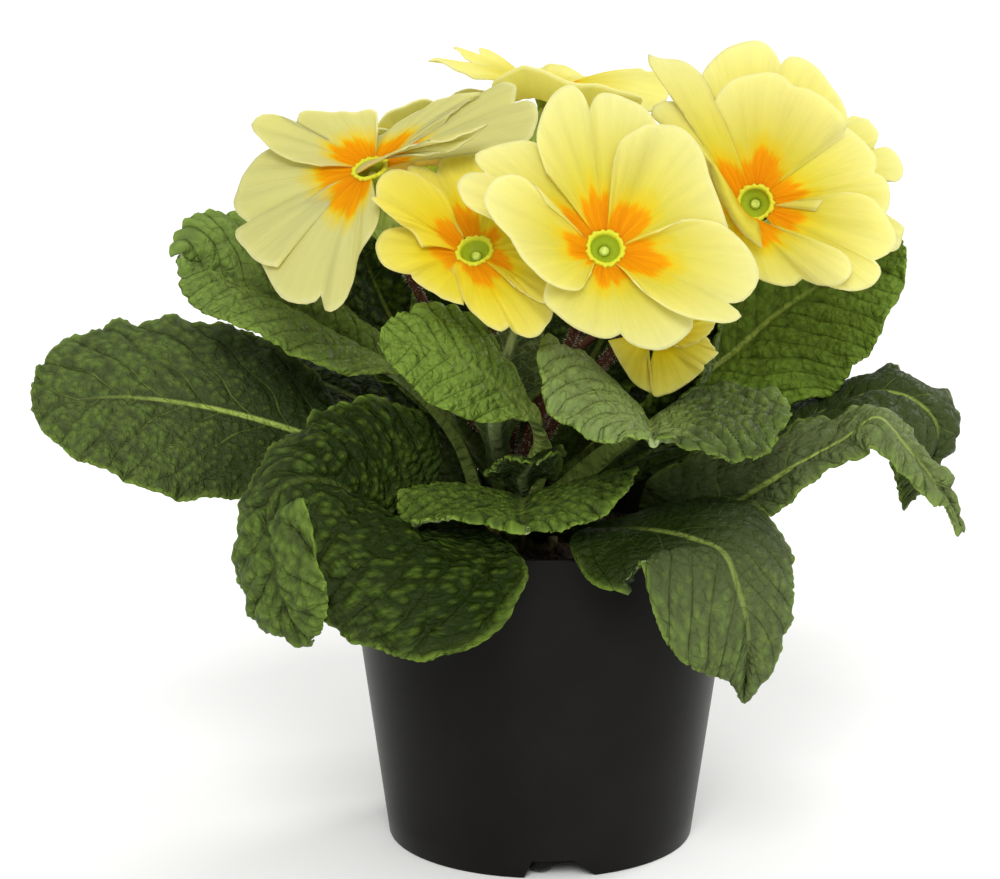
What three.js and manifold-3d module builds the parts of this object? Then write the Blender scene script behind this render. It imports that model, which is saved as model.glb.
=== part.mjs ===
// Potted primrose: a black nursery pot with soil, a crown, twenty-one leaves, eight open blooms and a bud.
// Millimetres, +Z up, origin at the middle of the pot's base, where its centre pad meets the table.
import * as THREE from "three";
import { mergeVertices } from "three/addons/utils/BufferGeometryUtils.js";
import Module from "manifold-3d";

// Driving dimensions, mm

const GAP = 0.3; // clearance between pieces that touch
const POT = {
  rim: 45, // outer radius at the top
  foot: 34.7, // outer radius at the table
  height: 75,
  wall: 1.2,
  ring: 2.6, // width of the standing ring
  lift: 4.2, // the base plate clears the table by this much
  plate: 1.4, // thickness of the base plate
  pad: 9, // radius of the centre pad that also stands on the table
  sides: 32,
  // Notches of the standing ring: how far each side stands from the notch's middle, at the table and at the top
  notches: { count: 3, first: -82, left: [8.3, 6.6], right: [7.8, 2.4] },
  nubs: { circle: 30, radius: 3.1, clear: 0.4, aside: -8 }, // a small foot inside each notch
  drains: { count: 6, radius: 3, circle: 20 },
};
const SOIL = { edge: 65.5, mound: 68, well: 60 };
const CROWN = {
  x: -5,
  y: 0,
  sides: 12,
  // [radius, height] from the bottom up
  profile: [[0, 60.3], [8.4, 60.3], [9.3, 70], [7.6, 75], [6.2, 80], [5.9, 84], [0, 84]],
};
// Leaves sit round the crown in three tiers: [distance from its axis, height]
const TIERS = [[9.6, 71.5], [8.1, 76], [7, 80.5]];
const BLADE = { thickness: 0.75, petiole: 2.6, rib: 2, tipRib: 0.5, tooth: 0.07, pucker: 0.45 };
const LOBE = { thickness: 0.7, root: 3.5, claw: 38 }; // claw is the half angle that its foot takes up
const THROAT = { mouth: 3.1, rim: 4.1, bore: 1.3, tube: 2.1, funnel: 3.4, length: 17 };
const CALYX = { inner: 2.9, outer: 3.6, rib: 0.7, top: 7, teeth: 3.5, floor: 17.4, base: 19 };
const PISTIL = { style: 0.5, globe: 1.1, top: 0.6, length: 16.8 };
const STALK = { radius: 1.25, ring: 4.3 };

// Leaves with a plain blade: seat is [direction round the crown in degrees, tier]; spine is the midrib from
// there to the tip; face is the way the upper side looks at the base, middle and tip; half is the half
// width at the widest, at the share widest of the length; petiole is the share that is stalk. left and
// right are [lift, curl] in degrees of each half blade, seen from the base with the upper side up.
// Leaves that fold or twist: stalk is the petiole, each rib is [left edge, midrib, right edge] and bulge
// is how far the left and right halves arch up between midrib and edge.
const LEAVES = [
  {
    seat: [180, 0],
    spine: [[-34, -4, 85], [-54, -1, 93], [-77, 0, 99], [-97, -3, 101.5], [-113, -7, 99.5]],
    face: [[0, 0, 1], [0.1, -0.6, 0.8], [0.1, -0.6, 0.8]],
    half: 25.3, widest: 0.67, petiole: 0.2, left: [-4, -8], right: [6, -10], wave: 1.2,
  },
  {
    seat: [172, 1],
    stalk: [[-18, -1, 91], [-25, 1, 100]],
    ribs: [
      [[-31, -8, 107], [-32, 2, 106], [-34, 9, 110]], [[-42, -14, 108], [-42, 3, 112], [-41, 12, 117]],
      [[-53, -16, 112], [-52, 4, 118], [-50, 15, 124]], [[-65, -14, 119], [-64, 4, 124], [-60, 17, 135]],
      [[-75, -8, 122], [-73, 3, 129], [-72, 13, 140]], [[-80, -5, 126], [-78, 1, 131], [-80, 7, 137]],
    ],
    tip: [-81, 0, 132], bulge: [2.5, 2], wave: 1.6,
  },
  {
    seat: [132, 2],
    spine: [[-20, 13, 92], [-29, 20, 105], [-38, 27, 121], [-43, 32, 134]],
    face: [[0.5, -0.5, 0.6], [0.5, -0.6, 0.5], [0.5, -0.6, 0.5]],
    half: 15, widest: 0.62, petiole: 0.2, left: [10, 0], right: [10, 0], wave: 1,
  },
  {
    seat: [222, 0],
    stalk: [[-16, -20, 78], [-23, -31, 79]],
    ribs: [
      [[-9, -46, 80], [-30, -38, 79.5], [-23, -22, 96]], [[-3, -53, 75], [-36, -43, 83], [-29, -24, 103]],
      [[-8, -56, 64], [-41, -45, 90], [-41, -28, 105]], [[-23, -58, 57], [-48, -48, 93], [-51, -34, 101]],
      [[-41, -55, 62], [-54, -50, 92], [-60, -40, 94]], [[-48.5, -51, 71], [-57, -52, 87], [-64, -43, 85.5]],
      [[-48.5, -62, 90], [-56, -57, 84], [-64, -49, 80.5]],
      [[-45.5, -67, 81.5], [-55, -61, 76.5], [-63.5, -51, 73.5]],
      [[-44, -67, 71.5], [-52.5, -61, 68.5], [-59, -53, 64.5]],
    ],
    tip: [-47, -61, 62.5], bulge: [2, 2], wave: 1,
  },
  {
    seat: [288, 2],
    spine: [[0, -14, 92], [-1, -19, 100], [-9, -26, 109], [-18, -31, 116], [-26, -33, 119], [-34, -35, 120]],
    face: [[0.3, 0.2, 0.9], [0.2, -0.75, 0.6], [-0.1, -0.75, 0.65]],
    half: 12.5, widest: 0.72, petiole: 0.35, left: [0, -10], right: [-8, -12], wave: 1,
  },
  {
    seat: [302, 1],
    stalk: [[5, -15, 83], [13, -20, 91], [20, -25, 98]],
    ribs: [
      [[34, -20, 106], [23, -31, 102], [13, -24, 110]], [[45, -24, 109], [23, -39, 103], [4, -28, 117]],
      [[52, -32, 107], [23, -46, 103], [0, -36, 119]], [[51, -42, 103], [23, -53, 104], [0, -46, 112]],
      [[43, -52, 98], [23, -58, 104], [4, -54, 107]], [[33, -58, 101], [23, -61, 104], [14, -60, 104]],
    ],
    tip: [23, -63, 105], bulge: [1.5, 1.5], wave: 1,
  },
  {
    seat: [30, 1],
    spine: [[16, 8, 90], [31, 12, 100], [43, 15, 108], [53, 18, 116.5], [64, 19, 124], [81.5, 17, 134]],
    face: [[-0.5, -0.3, 0.8], [-0.3, -0.8, 0.55], [-0.3, -0.8, 0.55]],
    half: 24, widest: 0.66, petiole: 0.3, left: [6, -6], right: [6, -10], wave: 1.2,
  },
  {
    seat: [2, 2],
    spine: [[16, 1, 90], [30, 3, 98], [37, 5, 106], [40, 6, 118]],
    face: [[-0.4, -0.3, 0.8], [-0.6, -0.7, 0.4], [-0.6, -0.7, 0.4]],
    half: 8, widest: 0.66, petiole: 0.35, left: [40, 20], right: [40, 20], wave: 0.8,
  },
  {
    seat: [352, 1],
    stalk: [[22, 0, 84], [40, 2, 90]],
    ribs: [
      [[55, 11, 96], [53, 3, 92], [50, -7, 90]], [[69, 14, 102], [65, 2, 98], [60, -11, 93]],
      [[80, 13, 104], [76, 2, 102], [71, -12, 97]], [[88, 12, 100], [84, 2, 100], [76, -10, 93]],
      [[94, 8, 93], [89, 2, 94], [79, -7, 86]], [[91, 4, 89], [87, 0, 87], [79, -6, 82]],
    ],
    tip: [82, -4, 79], bulge: [2, 2], wave: 1.2,
  },
  {
    seat: [325, 0],
    stalk: [[9, -17, 74], [22, -21, 73]],
    ribs: [
      [[22, -15, 79], [33, -23, 76], [37, -28, 77]], [[25, -18, 87], [40, -25, 81], [45, -33, 82]],
      [[37, -20, 93], [48, -27, 87], [52, -35, 84]], [[51, -15, 95], [57, -28, 93], [58, -35, 91]],
      [[65, -13, 99], [65, -29, 98], [67, -36, 95]], [[74, -20, 102], [72, -30, 103], [70, -38, 98]],
      [[81, -27, 97], [78, -32, 97], [75, -36, 93]], [[86, -30, 92], [83, -33, 91], [81, -35, 88]],
      [[89, -31, 87], [87, -32, 85], [86, -34, 85]],
    ],
    tip: [90, -31, 78], bulge: [1, 1], wave: 1,
  },
  {
    seat: [298, 0],
    stalk: [[1, -16, 75], [12, -29, 78]],
    ribs: [
      [[28, -27, 82], [19, -38, 80], [6, -48, 79]], [[38, -30, 85], [26, -45, 81], [10, -54, 73]],
      [[46, -37, 86], [32, -51, 81], [16, -55, 71]], [[52, -44, 80], [38, -55, 79], [21, -55, 77]],
      [[53, -50, 73], [41, -58, 72], [24, -58, 66]], [[51, -54, 64], [43, -59, 64], [31, -58, 55]],
      [[47, -56, 55], [43, -58, 56], [38, -57, 52]],
    ],
    tip: [42, -55, 48], bulge: [2, 2], wave: 1.2,
  },
  {
    seat: [262, 0],
    stalk: [[-4, -17, 81]],
    ribs: [
      [[8, -24, 87], [-4, -27, 84], [-19, -28, 86]], [[20, -31, 91], [-4, -36, 85], [-30, -37, 87.5]],
      [[19, -43, 90], [-4, -47, 86], [-29, -44, 83]], [[11, -54, 86], [-4, -56, 86], [-21, -54, 86]],
    ],
    tip: [-3, -60, 85], bulge: [0.5, 1], wave: 1,
  },
  {
    seat: [263, 1],
    spine: [[-4, -17, 85], [-4, -24, 90], [-2, -31, 94], [-1, -38, 95]],
    face: [[0, -0.3, 1], [0, -0.6, 0.8], [0, -0.4, 0.9]],
    half: 9, widest: 0.62, petiole: 0.25, left: [6, -10], right: [6, -10], wave: 0.8,
  },
  {
    seat: [244, 2],
    spine: [[-10, -11, 94], [-10, -13, 104], [-7, -13, 115], [-3, -10, 126]],
    face: [[0, 0.9, 0.5], [-0.2, 0.9, 0.2], [-0.2, 0.9, 0.4]],
    half: 12, widest: 0.62, petiole: 0.24, left: [10, 10], right: [60, 10], wave: 0.8,
  },
  {
    seat: [148, 0],
    spine: [[-28, 14, 88], [-46, 22, 98], [-64, 32, 101], [-81, 41, 95]],
    face: [[0, -0.2, 1], [0, -0.4, 1], [0, -0.2, 1]],
    half: 20, widest: 0.6, petiole: 0.08, left: [4, -12], right: [4, -12], wave: 1.4,
  },
  {
    seat: [112, 0],
    spine: [[-12, 23, 92], [-19, 39, 107], [-23, 55, 113], [-26, 69, 109]],
    face: [[0, -0.5, 1], [0, -0.4, 1], [0, 0.2, 1]],
    half: 18, widest: 0.64, petiole: 0.06, left: [4, -12], right: [4, -12], wave: 1.4,
  },
  {
    seat: [84, 1],
    spine: [[-1, 24, 85], [6, 40, 91], [9, 54, 93], [12, 68, 90]],
    face: [[0, 0, 1], [0, -0.2, 1], [0, 0.2, 1]],
    half: 18, widest: 0.64, petiole: 0.2, left: [8, -12], right: [8, -12], wave: 1.4,
  },
  {
    seat: [60, 0],
    spine: [[10, 20, 92], [22, 36, 105], [33, 52, 110], [42, 66, 105]],
    face: [[0, -0.4, 1], [0, -0.3, 1], [0, 0.3, 1]],
    half: 21, widest: 0.64, petiole: 0.08, left: [4, -12], right: [4, -12], wave: 1.4,
  },
  {
    seat: [26, 0],
    spine: [[22, 13, 84], [42, 20, 90], [60, 28, 91], [76, 34, 84]],
    face: [[0, -0.2, 1], [0, -0.2, 1], [0.2, 0, 1]],
    half: 18, widest: 0.64, petiole: 0.1, left: [4, -12], right: [4, -12], wave: 1.2,
  },
  {
    seat: [91, 2],
    spine: [[-10, 15, 98], [-15, 24, 112], [-18, 31, 124], [-20, 38, 132]],
    face: [[0, -0.7, 0.7], [0.1, -0.8, 0.5], [0.1, -0.7, 0.7]],
    half: 15, widest: 0.62, petiole: 0.15, left: [12, 0], right: [12, 0], wave: 1,
  },
  {
    seat: [48, 2],
    spine: [[6, 15, 96], [13, 24, 108], [18, 32, 116], [22, 41, 121]],
    face: [[-0.1, -0.7, 0.7], [-0.1, -0.8, 0.5], [-0.1, -0.7, 0.7]],
    half: 15, widest: 0.62, petiole: 0.15, left: [12, 0], right: [12, 0], wave: 1,
  },
];

// Blooms: eye is the middle of the throat, facing the way it looks, spot its place on the crown's top
// ring in degrees, bend the points that the stalk passes. Each lobe of the corolla has the rim of its
// left side from the throat out, the notch of its tip and the rim of its right side back to the throat,
// as [right, up, out] from the eye, seen from in front, and bulge is how far it arches between them.
// plainLobes are [direction, length, half angle, lift, notch], clockwise from the upper side in degrees.
const BLOOMS = [
  {
    eye: [-37, -15, 154], facing: [-0.25, -0.45, 0.85], spot: 200, bend: [[-19, 1, 108]],
    lobes: [
      {
        left: [
          [-10.5, -2.5, 2], [-18.5, -2, 3], [-26.5, 1, 5], [-32, 5.5, 6], [-29.5, 7.5, 7], [-24, 7, 7],
        ],
        right: [[-20, 8, 8], [-14, 8.5, 9], [-6.5, 8.5, 9], [0, 8.5, 9], [1, 5.5, 6]],
        notch: [-20.5, 6, 6.5], bulge: 1,
      },
      {
        left: [[-8.5, -30, -3], [-13, -29.5, -3], [-19, -26, -3], [-23.5, -22, -3], [-24.5, -18, -3]],
        right: [
          [-27, -15, -2], [-30, -11.5, -2], [-31, -6, -1.5], [-31, 1.5, -1], [-28, 5.5, -0.5],
          [-21.5, 5, 0],
        ],
        notch: [-23.5, -16.5, -2.5], bulge: 1,
      },
      {
        left: [
          [7.5, -11, -2], [8, -15, -4], [6.5, -20, -6], [8, -29, -8], [7.5, -34.5, -9], [5.5, -36, -9],
        ],
        right: [
          [0.5, -33.5, -9], [-3, -35, -9], [-6, -35, -8], [-13, -29, -6], [-16, -25.5, -5],
          [-15.5, -17.5, -3], [-11.5, -11.5, -1.5],
        ],
        notch: [1.5, -31.5, -8], bulge: 2,
      },
      {
        left: [[11, -0.5, 6], [16, 1, 8], [21.5, 1.5, 9], [25.5, 4, 9]],
        right: [[26, 5, 7], [22.5, 2.5, 6], [17.5, 1.5, 5], [12.5, 0.5, 4]],
        notch: [28.5, 7, 9], bulge: 1,
      },
      {
        left: [[11, 18, 1], [13.5, 21.5, 2], [17, 27, 3], [20, 28.5, 3], [23.5, 28, 3]],
        right: [[27.5, 25.5, 2], [31, 22.5, 2], [32.5, 17.5, 1], [32.5, 12.5, 0], [23, 8.5, -1]],
        notch: [24.5, 24, 2], bulge: 1,
      },
      {
        left: [[-2.5, 9.5, 2], [0.5, 12, 3], [6.5, 17, 4], [11, 20.5, 5], [15.5, 22, 6]],
        right: [[15, 19.5, 4], [13, 16, 3], [10, 11.5, 1.5]],
        notch: [17.5, 23, 6], bulge: 1,
      },
    ],
  },
  {
    eye: [-14, -35.5, 139.3], facing: [-0.15, -0.66, 0.74], spot: 240,
    bend: [[-16, -6, 98], [-20, -11, 109]],
    lobes: [
      {
        left: [[-11, -1, 2], [-13.5, 2, 4], [-18, 4, 6], [-23, 8, 7]],
        right: [
          [-22.5, 11.5, 7], [-21.5, 15, 7], [-19, 17, 6.5], [-15, 16, 6], [-10.5, 13.5, 5], [-7, 10, 3.5],
          [-6.5, 6.5, 2],
        ],
        notch: [-22, 8.5, 7], bulge: 2,
      },
      {
        left: [[-1, -11.5, -3], [-3.5, -11, -3], [-8.5, -9, -3], [-12.5, -6.5, -2]],
        right: [
          [-16, -4.5, -1.5], [-19.5, -3.5, -1], [-22, 1, -1], [-21, 4.5, -0.5], [-17, 5.5, 0],
          [-12.5, 5, 0],
        ],
        notch: [-13.5, -4.5, -1.5], bulge: 1,
      },
      {
        left: [[17, -11.5, -2], [18.5, -12.5, -3], [18, -15, -4], [16, -18, -4.5], [13, -18.5, -4]],
        right: [
          [8, -17.5, -4], [6, -17, -4], [2, -14.5, -3], [-0.5, -11.5, -2], [-2.5, -8, -1], [-4.5, -5, 0],
        ],
        notch: [9.5, -16, -3.5], bulge: 2,
      },
      {
        left: [[10.5, 1.5, 2], [16, -4.5, 2]],
        right: [[18.5, -13, 0], [14, -11.5, 0.5], [9, -8.5, 0.5]],
        notch: [19.5, -9, 1], bulge: 1,
      },
      {
        left: [[1, 16.5, 0], [4.5, 15, 0]],
        right: [[10.5, 7, 0], [11, 2, 0]],
        notch: [8.5, 11, 0], bulge: 1,
      },
      {
        left: [[-13, 16, 1], [-18.5, 21, 1], [-15.5, 22, 1]],
        right: [[-12, 24.5, 0.5], [-9, 26.5, 0], [-5.5, 25.5, 0], [-2, 22, 0], [1, 17.5, 0]],
        notch: [-12.5, 21, 1], bulge: 1,
      },
    ],
  },
  {
    eye: [13, -50, 142.2], facing: [0.1, -0.87, 0.48], spot: 280, bend: [[2, -10, 104], [8, -18, 122]],
    lobes: [
      {
        left: [[-11.5, 16.5, 1], [-13, 24.5, 1.5], [-9, 34, 1], [-5, 36, 0.5], [-3, 34, 0.5]],
        right: [[0.5, 34, 0.5], [4.5, 34, 0.5], [11, 30, 0], [14, 21.5, 0]],
        notch: [-1.5, 31, 0], bulge: 1,
      },
      {
        left: [[2, 15.5, 3], [4, 22, 3], [9.5, 26, 2.5]],
        right: [[17, 26, 2], [20.5, 22, 2], [22.5, 14, 2], [25.5, 3.5, 2.5]],
        notch: [13, 27, 2], bulge: 1,
      },
      {
        left: [
          [10.5, 2, 4], [16.5, 4.5, 4], [23.5, 4, 2.5], [30, -1.5, 1], [31.5, -7, 0], [28, -11.5, 0],
        ],
        right: [[27, -15.5, 1], [24.5, -17, 1.5], [16.5, -16.5, 3], [9.5, -13, 4], [5, -8.5, 4]],
        notch: [24.5, -12, 0.5], bulge: 1,
      },
      {
        left: [[15.5, -11.5, -1], [17.5, -16, -2], [15, -19, -2.5], [10, -21, -3], [4.5, -19.5, -3]],
        right: [[0, -18.5, -3], [-5, -17, -3], [-10, -13.5, -2], [-13, -10.5, -1.5], [-12, -6, -1]],
        notch: [2.5, -17.5, -2.5], bulge: 2,
      },
      {
        left: [[-3.5, -6, 2], [-6.5, -10, 3.5], [-12.5, -9, 5], [-17.5, -4.5, 5.5]],
        right: [
          [-23.5, 5, 6], [-25, 9, 6], [-22.5, 13.5, 6], [-18, 14, 5.5], [-14.5, 12, 5], [-12, 8, 4],
        ],
        notch: [-20, 1, 5], bulge: 1,
      },
      {
        left: [[-19, 6, -1], [-23.5, 8, -2], [-28, 11, -3], [-29.5, 16, -3.5], [-27, 18.5, -3.5]],
        right: [[-25.5, 22.5, -4], [-22.5, 24, -4], [-17.5, 25, -3.5], [-12.5, 24.5, -3], [-7.5, 20, -2]],
        notch: [-23.5, 18.5, -3], bulge: 1,
      },
    ],
  },
  {
    eye: [45.4, -24, 148.2], facing: [-0.1, -0.95, 0.3], spot: 0, bend: [[12, -3, 108], [35, -3, 131]],
    lobes: [
      {
        left: [
          [2, -10.5, 5], [-2.5, -7.5, 8], [-7.5, 1, 9], [-11.5, 10.5, 7], [-18, 15, 3], [-23, 19, 0],
          [-21, 21.5, 0],
        ],
        right: [
          [-19.5, 24.5, 0], [-23.5, 30, -1], [-24, 32.5, -2], [-21.5, 31.5, -2], [-16.5, 31, -2],
          [-12.5, 28, -2], [-9, 22, -1],
        ],
        notch: [-18, 21.5, 1], bulge: 6, claw: 84,
      },
      {
        left: [
          [-13, 25.5, -4], [-12, 30, -6], [-8.5, 34, -7], [-4.5, 36, -7], [0, 36.5, -7], [3, 34, -6],
        ],
        right: [[6, 33, -6], [8.5, 33, -6], [12, 31, -6], [15, 27, -5], [18, 22.5, -4], [19.5, 18, -3]],
        notch: [4.5, 31.5, -6], bulge: 1,
      },
      {
        left: [[-7, 11.5, 1], [-9.5, 17, 1.5], [-9, 21.5, 1.5], [-6, 26, 1], [-0.5, 28, 0], [4.5, 28, 0]],
        right: [[11, 24.5, 0], [15, 22, 0], [18.5, 18.5, 0], [18.5, 14.5, 0]],
        notch: [7.5, 25.5, 0], bulge: 1,
      },
      {
        left: [[16.5, 18.5, -1], [20, 16, -1], [23.5, 13, -1], [25.5, 9.5, -1]],
        right: [[27.5, 5.5, -1], [28.5, 2.5, -1], [28, -1, -1], [25.5, -4.5, -1]],
        notch: [25, 7, -0.5], bulge: 1,
      },
      {
        left: [
          [13, -2, 2], [14.5, 0.5, 3], [19, 2, 3.5], [24.5, 1, 3], [28.5, -4, 2], [30, -7.5, 1],
          [28.5, -10.5, 1],
        ],
        right: [[27, -14, 0], [25.5, -17, 0], [21.5, -18.5, 0], [17, -18, 0], [13, -16.5, 0]],
        notch: [25.5, -12, 1], bulge: 1,
      },
      {
        left: [
          [12, -9, 3], [16, -9.5, 3], [19.5, -11.5, 3], [21, -14.5, 2.5], [18.5, -17.5, 2],
          [14, -17.5, 1.5],
        ],
        right: [
          [8.5, -17.5, 0], [5.5, -17.5, 0], [1, -16, -1], [-3.5, -12.5, -1], [-8, -10, -2],
          [-12.5, -5, -3], [-14.5, 2, -3], [-13.5, 7, -2], [-9, 6, -1],
        ],
        notch: [10.5, -16, 1], bulge: 2,
      },
    ],
  },
  {
    eye: [1, 25, 168], facing: [0, 0.3, 0.95], spot: 120, bend: [[-3, 8, 112], [0, 15, 136]],
    lobes: [
      {
        left: [[10.5, 7, -0.5], [15, 10.5, 0], [18.5, 12.5, 0.5], [22.5, 13, 2]],
        right: [[23.5, 7, 5], [20, 4.5, 5], [16, 2.5, 4.5], [13.5, 0, 3.5]],
        notch: [26.5, 11.5, 4], bulge: 1,
      },
      {
        left: [[15.5, -3.5, 6], [18.5, -6, 8], [21.5, -8, 10.5]],
        right: [[15.5, -14, 12.5], [12, -14.5, 10], [9.5, -13.5, 7.5], [5.5, -10, 5.5]],
        notch: [15, -8.5, 9], bulge: 1,
      },
      {
        left: [[-14, 10, -6], [-18, 13, -7], [-21, 17, -7.5], [-20, 22, -7], [-10, 27.5, -4.5]],
        right: [[-1, 28, -3], [3, 26, -1.5], [8, 21, -1], [12, 15.5, -2], [11.5, 9, -2.5]],
        notch: [-4.5, 27, -3.5], bulge: -5,
      },
      {
        left: [[-12.5, -12.5, 4.5], [-15.5, -10, 4], [-18, -8, 5], [-21.5, -5.5, 5.5]],
        right: [[-25.5, 2, 2.5], [-27.5, 8.5, -2.5], [-23.5, 13, -8], [-15.5, 15.5, -7.5]],
        notch: [-23.5, -2, 3.5], bulge: 1,
      },
      {
        left: [[5, -17.5, 7], [3.5, -21.5, 8.5], [0.5, -27, 10.5], [-3.5, -29, 11]],
        right: [[-10, -26, 8], [-12.5, -18, 5.5]],
        notch: [-7, -28, 10], bulge: 1,
      },
    ],
  },
  {
    eye: [57, 3, 150.5], facing: [0.35, -0.7, 0.62], spot: 40, bend: [[14, 3, 108], [42, 10, 128]],
    lobes: [
      {
        left: [[16, 13, 0], [19.5, 15, 0], [22.5, 14, 0], [24, 10, 0]],
        right: [
          [23, 6.5, -1], [26.5, 6.5, -1], [28.5, 4, -1], [28, 0.5, -1], [26, -2, -1], [23, -2.5, -1],
          [19, 0, -1],
        ],
        notch: [22, 6.5, 0], bulge: 1,
      },
      {
        left: [[16.5, -7, -1], [20, -11, -2], [23, -14, -2]],
        right: [[19.5, -19, -2], [14, -19, -2], [8.5, -14, -1]],
        notch: [22.5, -16, -2], bulge: 1,
      },
    ],
    plainLobes: [
      [-64, 22, 36, 8, 0.12], [4, 21, 36, 10, 0.12], [-136, 13, 36, -6, 0.12],
    ],
  },
  {
    eye: [25, -32, 122], facing: [0.1, -0.94, 0.2], spot: 320, bend: [[5, -3, 108], [15, -6, 128]],
    lobes: [
      {
        left: [[-4, -6, 1], [-2.5, -10, 1]],
        right: [[-4.5, -12, 0.5], [-6, -10.5, 0], [-8, -7.5, 0], [-9.5, -5, 0], [-11, -2, 0]],
        notch: [-2, -13.3, 1], bulge: 1,
      },
      {
        left: [[6, -5.5, -1], [8.5, -7, -1], [9.5, -8, -1]],
        right: [[6, -11.3, -1], [3, -13, -1], [1, -13.6, -1], [-1.3, -14, -0.5], [-3, -9.5, 0]],
        notch: [8.5, -9.5, -1], bulge: 1,
      },
      {
        left: [[9.5, -0.5, -2], [11, -2.5, -2]],
        right: [[11, -6.5, -1.5], [9, -7.5, -1.5], [6, -5.5, -1]],
        notch: [13, -5, -2], bulge: 1,
      },
      {
        left: [[9.5, 3.5, 0], [12, 1.5, 0]],
        right: [[8, -2.5, 1], [5.5, -3.5, 1], [3, -3.5, 1]],
        notch: [10.5, -1, 0.5], bulge: 1,
      },
    ],
    plainLobes: [
      [-50, 14, 36, 10, 0.1], [20, 14, 34, 14, 0.1],
    ],
  },
  {
    eye: [-28, 40, 146], facing: [-0.35, 0.55, 0.76], spot: 160, bend: [[-8, 10, 108]],
    lobes: [],
    plainLobes: [
      [10, 28, 40, 8, 0.14], [82, 29, 40, 5, 0.14], [154, 29, 40, 2, 0.14], [-134, 30, 40, 2, 0.14],
      [-62, 28, 40, 6, 0.14],
    ],
  },
];
const BUD = {
  tip: [30, 34, 140], facing: [0.35, 0.35, 0.87], spot: 80, bend: [[4, 10, 106]],
  radius: 3.6, length: 20,
};

const LEAF_ROWS = 9;
const LAST_ROW = 0.985; // the last row of a folded leaf is just short of its tip
const LOBE_ROWS = [0, 0.5, 1];
const LOBE_COLUMNS = [-1, -0.67, -0.33, 0, 0.33, 0.67, 1];

const wasm = await Module();
wasm.setup();

const rad = THREE.MathUtils.degToRad;
const vector = (p) => new THREE.Vector3(p[0], p[1], p[2]);
const mix = (a, b, s) => a + (b - a) * s;
const turn = (angle) => new THREE.Vector3(Math.cos(rad(angle)), Math.sin(rad(angle)), 0);

// Closed slab between two grids of points alike, the upper one first; both faces are split the same way.
function slab(upper, lower) {
  const rows = upper.length;
  const columns = upper[0].length;
  const position = [...upper.flat(), ...lower.flat()].flatMap((p) => [p.x, p.y, p.z]);
  const index = [];
  const top = (i, j) => i * columns + j;
  const under = (i, j) => rows * columns + i * columns + j;
  const quad = (a, b, c, d) => index.push(a, b, c, a, c, d);
  for (let i = 0; i < rows - 1; i++) {
    for (let j = 0; j < columns - 1; j++) {
      const leftHalf = 2 * j < columns - 1;
      const a = [top(i, j), top(i, j + 1), top(i + 1, j + 1), top(i + 1, j)];
      const b = [under(i, j), under(i, j + 1), under(i + 1, j + 1), under(i + 1, j)];
      const first = leftHalf ? 1 : 0;
      const corner = (ring, k) => ring[(first + k) % 4];
      quad(corner(a, 0), corner(a, 1), corner(a, 2), corner(a, 3));
      index.push(corner(b, 0), corner(b, 2), corner(b, 1), corner(b, 0), corner(b, 3), corner(b, 2));
    }
  }
  for (let i = 0; i < rows - 1; i++) {
    quad(top(i, 0), top(i + 1, 0), under(i + 1, 0), under(i, 0));
    const last = columns - 1;
    quad(top(i + 1, last), top(i, last), under(i, last), under(i + 1, last));
  }
  for (let j = 0; j < columns - 1; j++) {
    quad(top(0, j + 1), top(0, j), under(0, j), under(0, j + 1));
    const end = rows - 1;
    quad(top(end, j), top(end, j + 1), under(end, j + 1), under(end, j));
  }
  const geometry = new THREE.BufferGeometry();
  geometry.setAttribute("position", new THREE.Float32BufferAttribute(position, 3));
  geometry.setIndex(index);
  return geometry;
}

function solid(geometry) {
  const bare = geometry.clone();
  bare.deleteAttribute("normal");
  bare.deleteAttribute("uv");
  const merged = mergeVertices(bare, 1e-3);
  const triVerts = new Uint32Array(merged.index.array);
  const vertProperties = new Float32Array(merged.attributes.position.array);
  return new wasm.Manifold(new wasm.Mesh({ numProp: 3, vertProperties, triVerts }));
}

function geometryOf(manifold) {
  const { vertProperties, triVerts } = manifold.getMesh();
  const geometry = new THREE.BufferGeometry();
  geometry.setAttribute("position", new THREE.BufferAttribute(vertProperties, 3));
  geometry.setIndex(new THREE.BufferAttribute(triVerts, 1));
  return geometry;
}

// A profile of [radius, height] points turned about +Z; it runs upwards outside and back down inside.
function lathe(profile, sides) {
  const points = profile.map(([r, z]) => new THREE.Vector2(r, z));
  return new THREE.LatheGeometry(points, sides).rotateX(Math.PI / 2);
}

// An upright rod about +Z with its middle at the origin.
function rod(top, bottom, height, sides) {
  return new THREE.CylinderGeometry(top, bottom, height, sides).rotateX(Math.PI / 2);
}

// Pot, soil and crown

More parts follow.
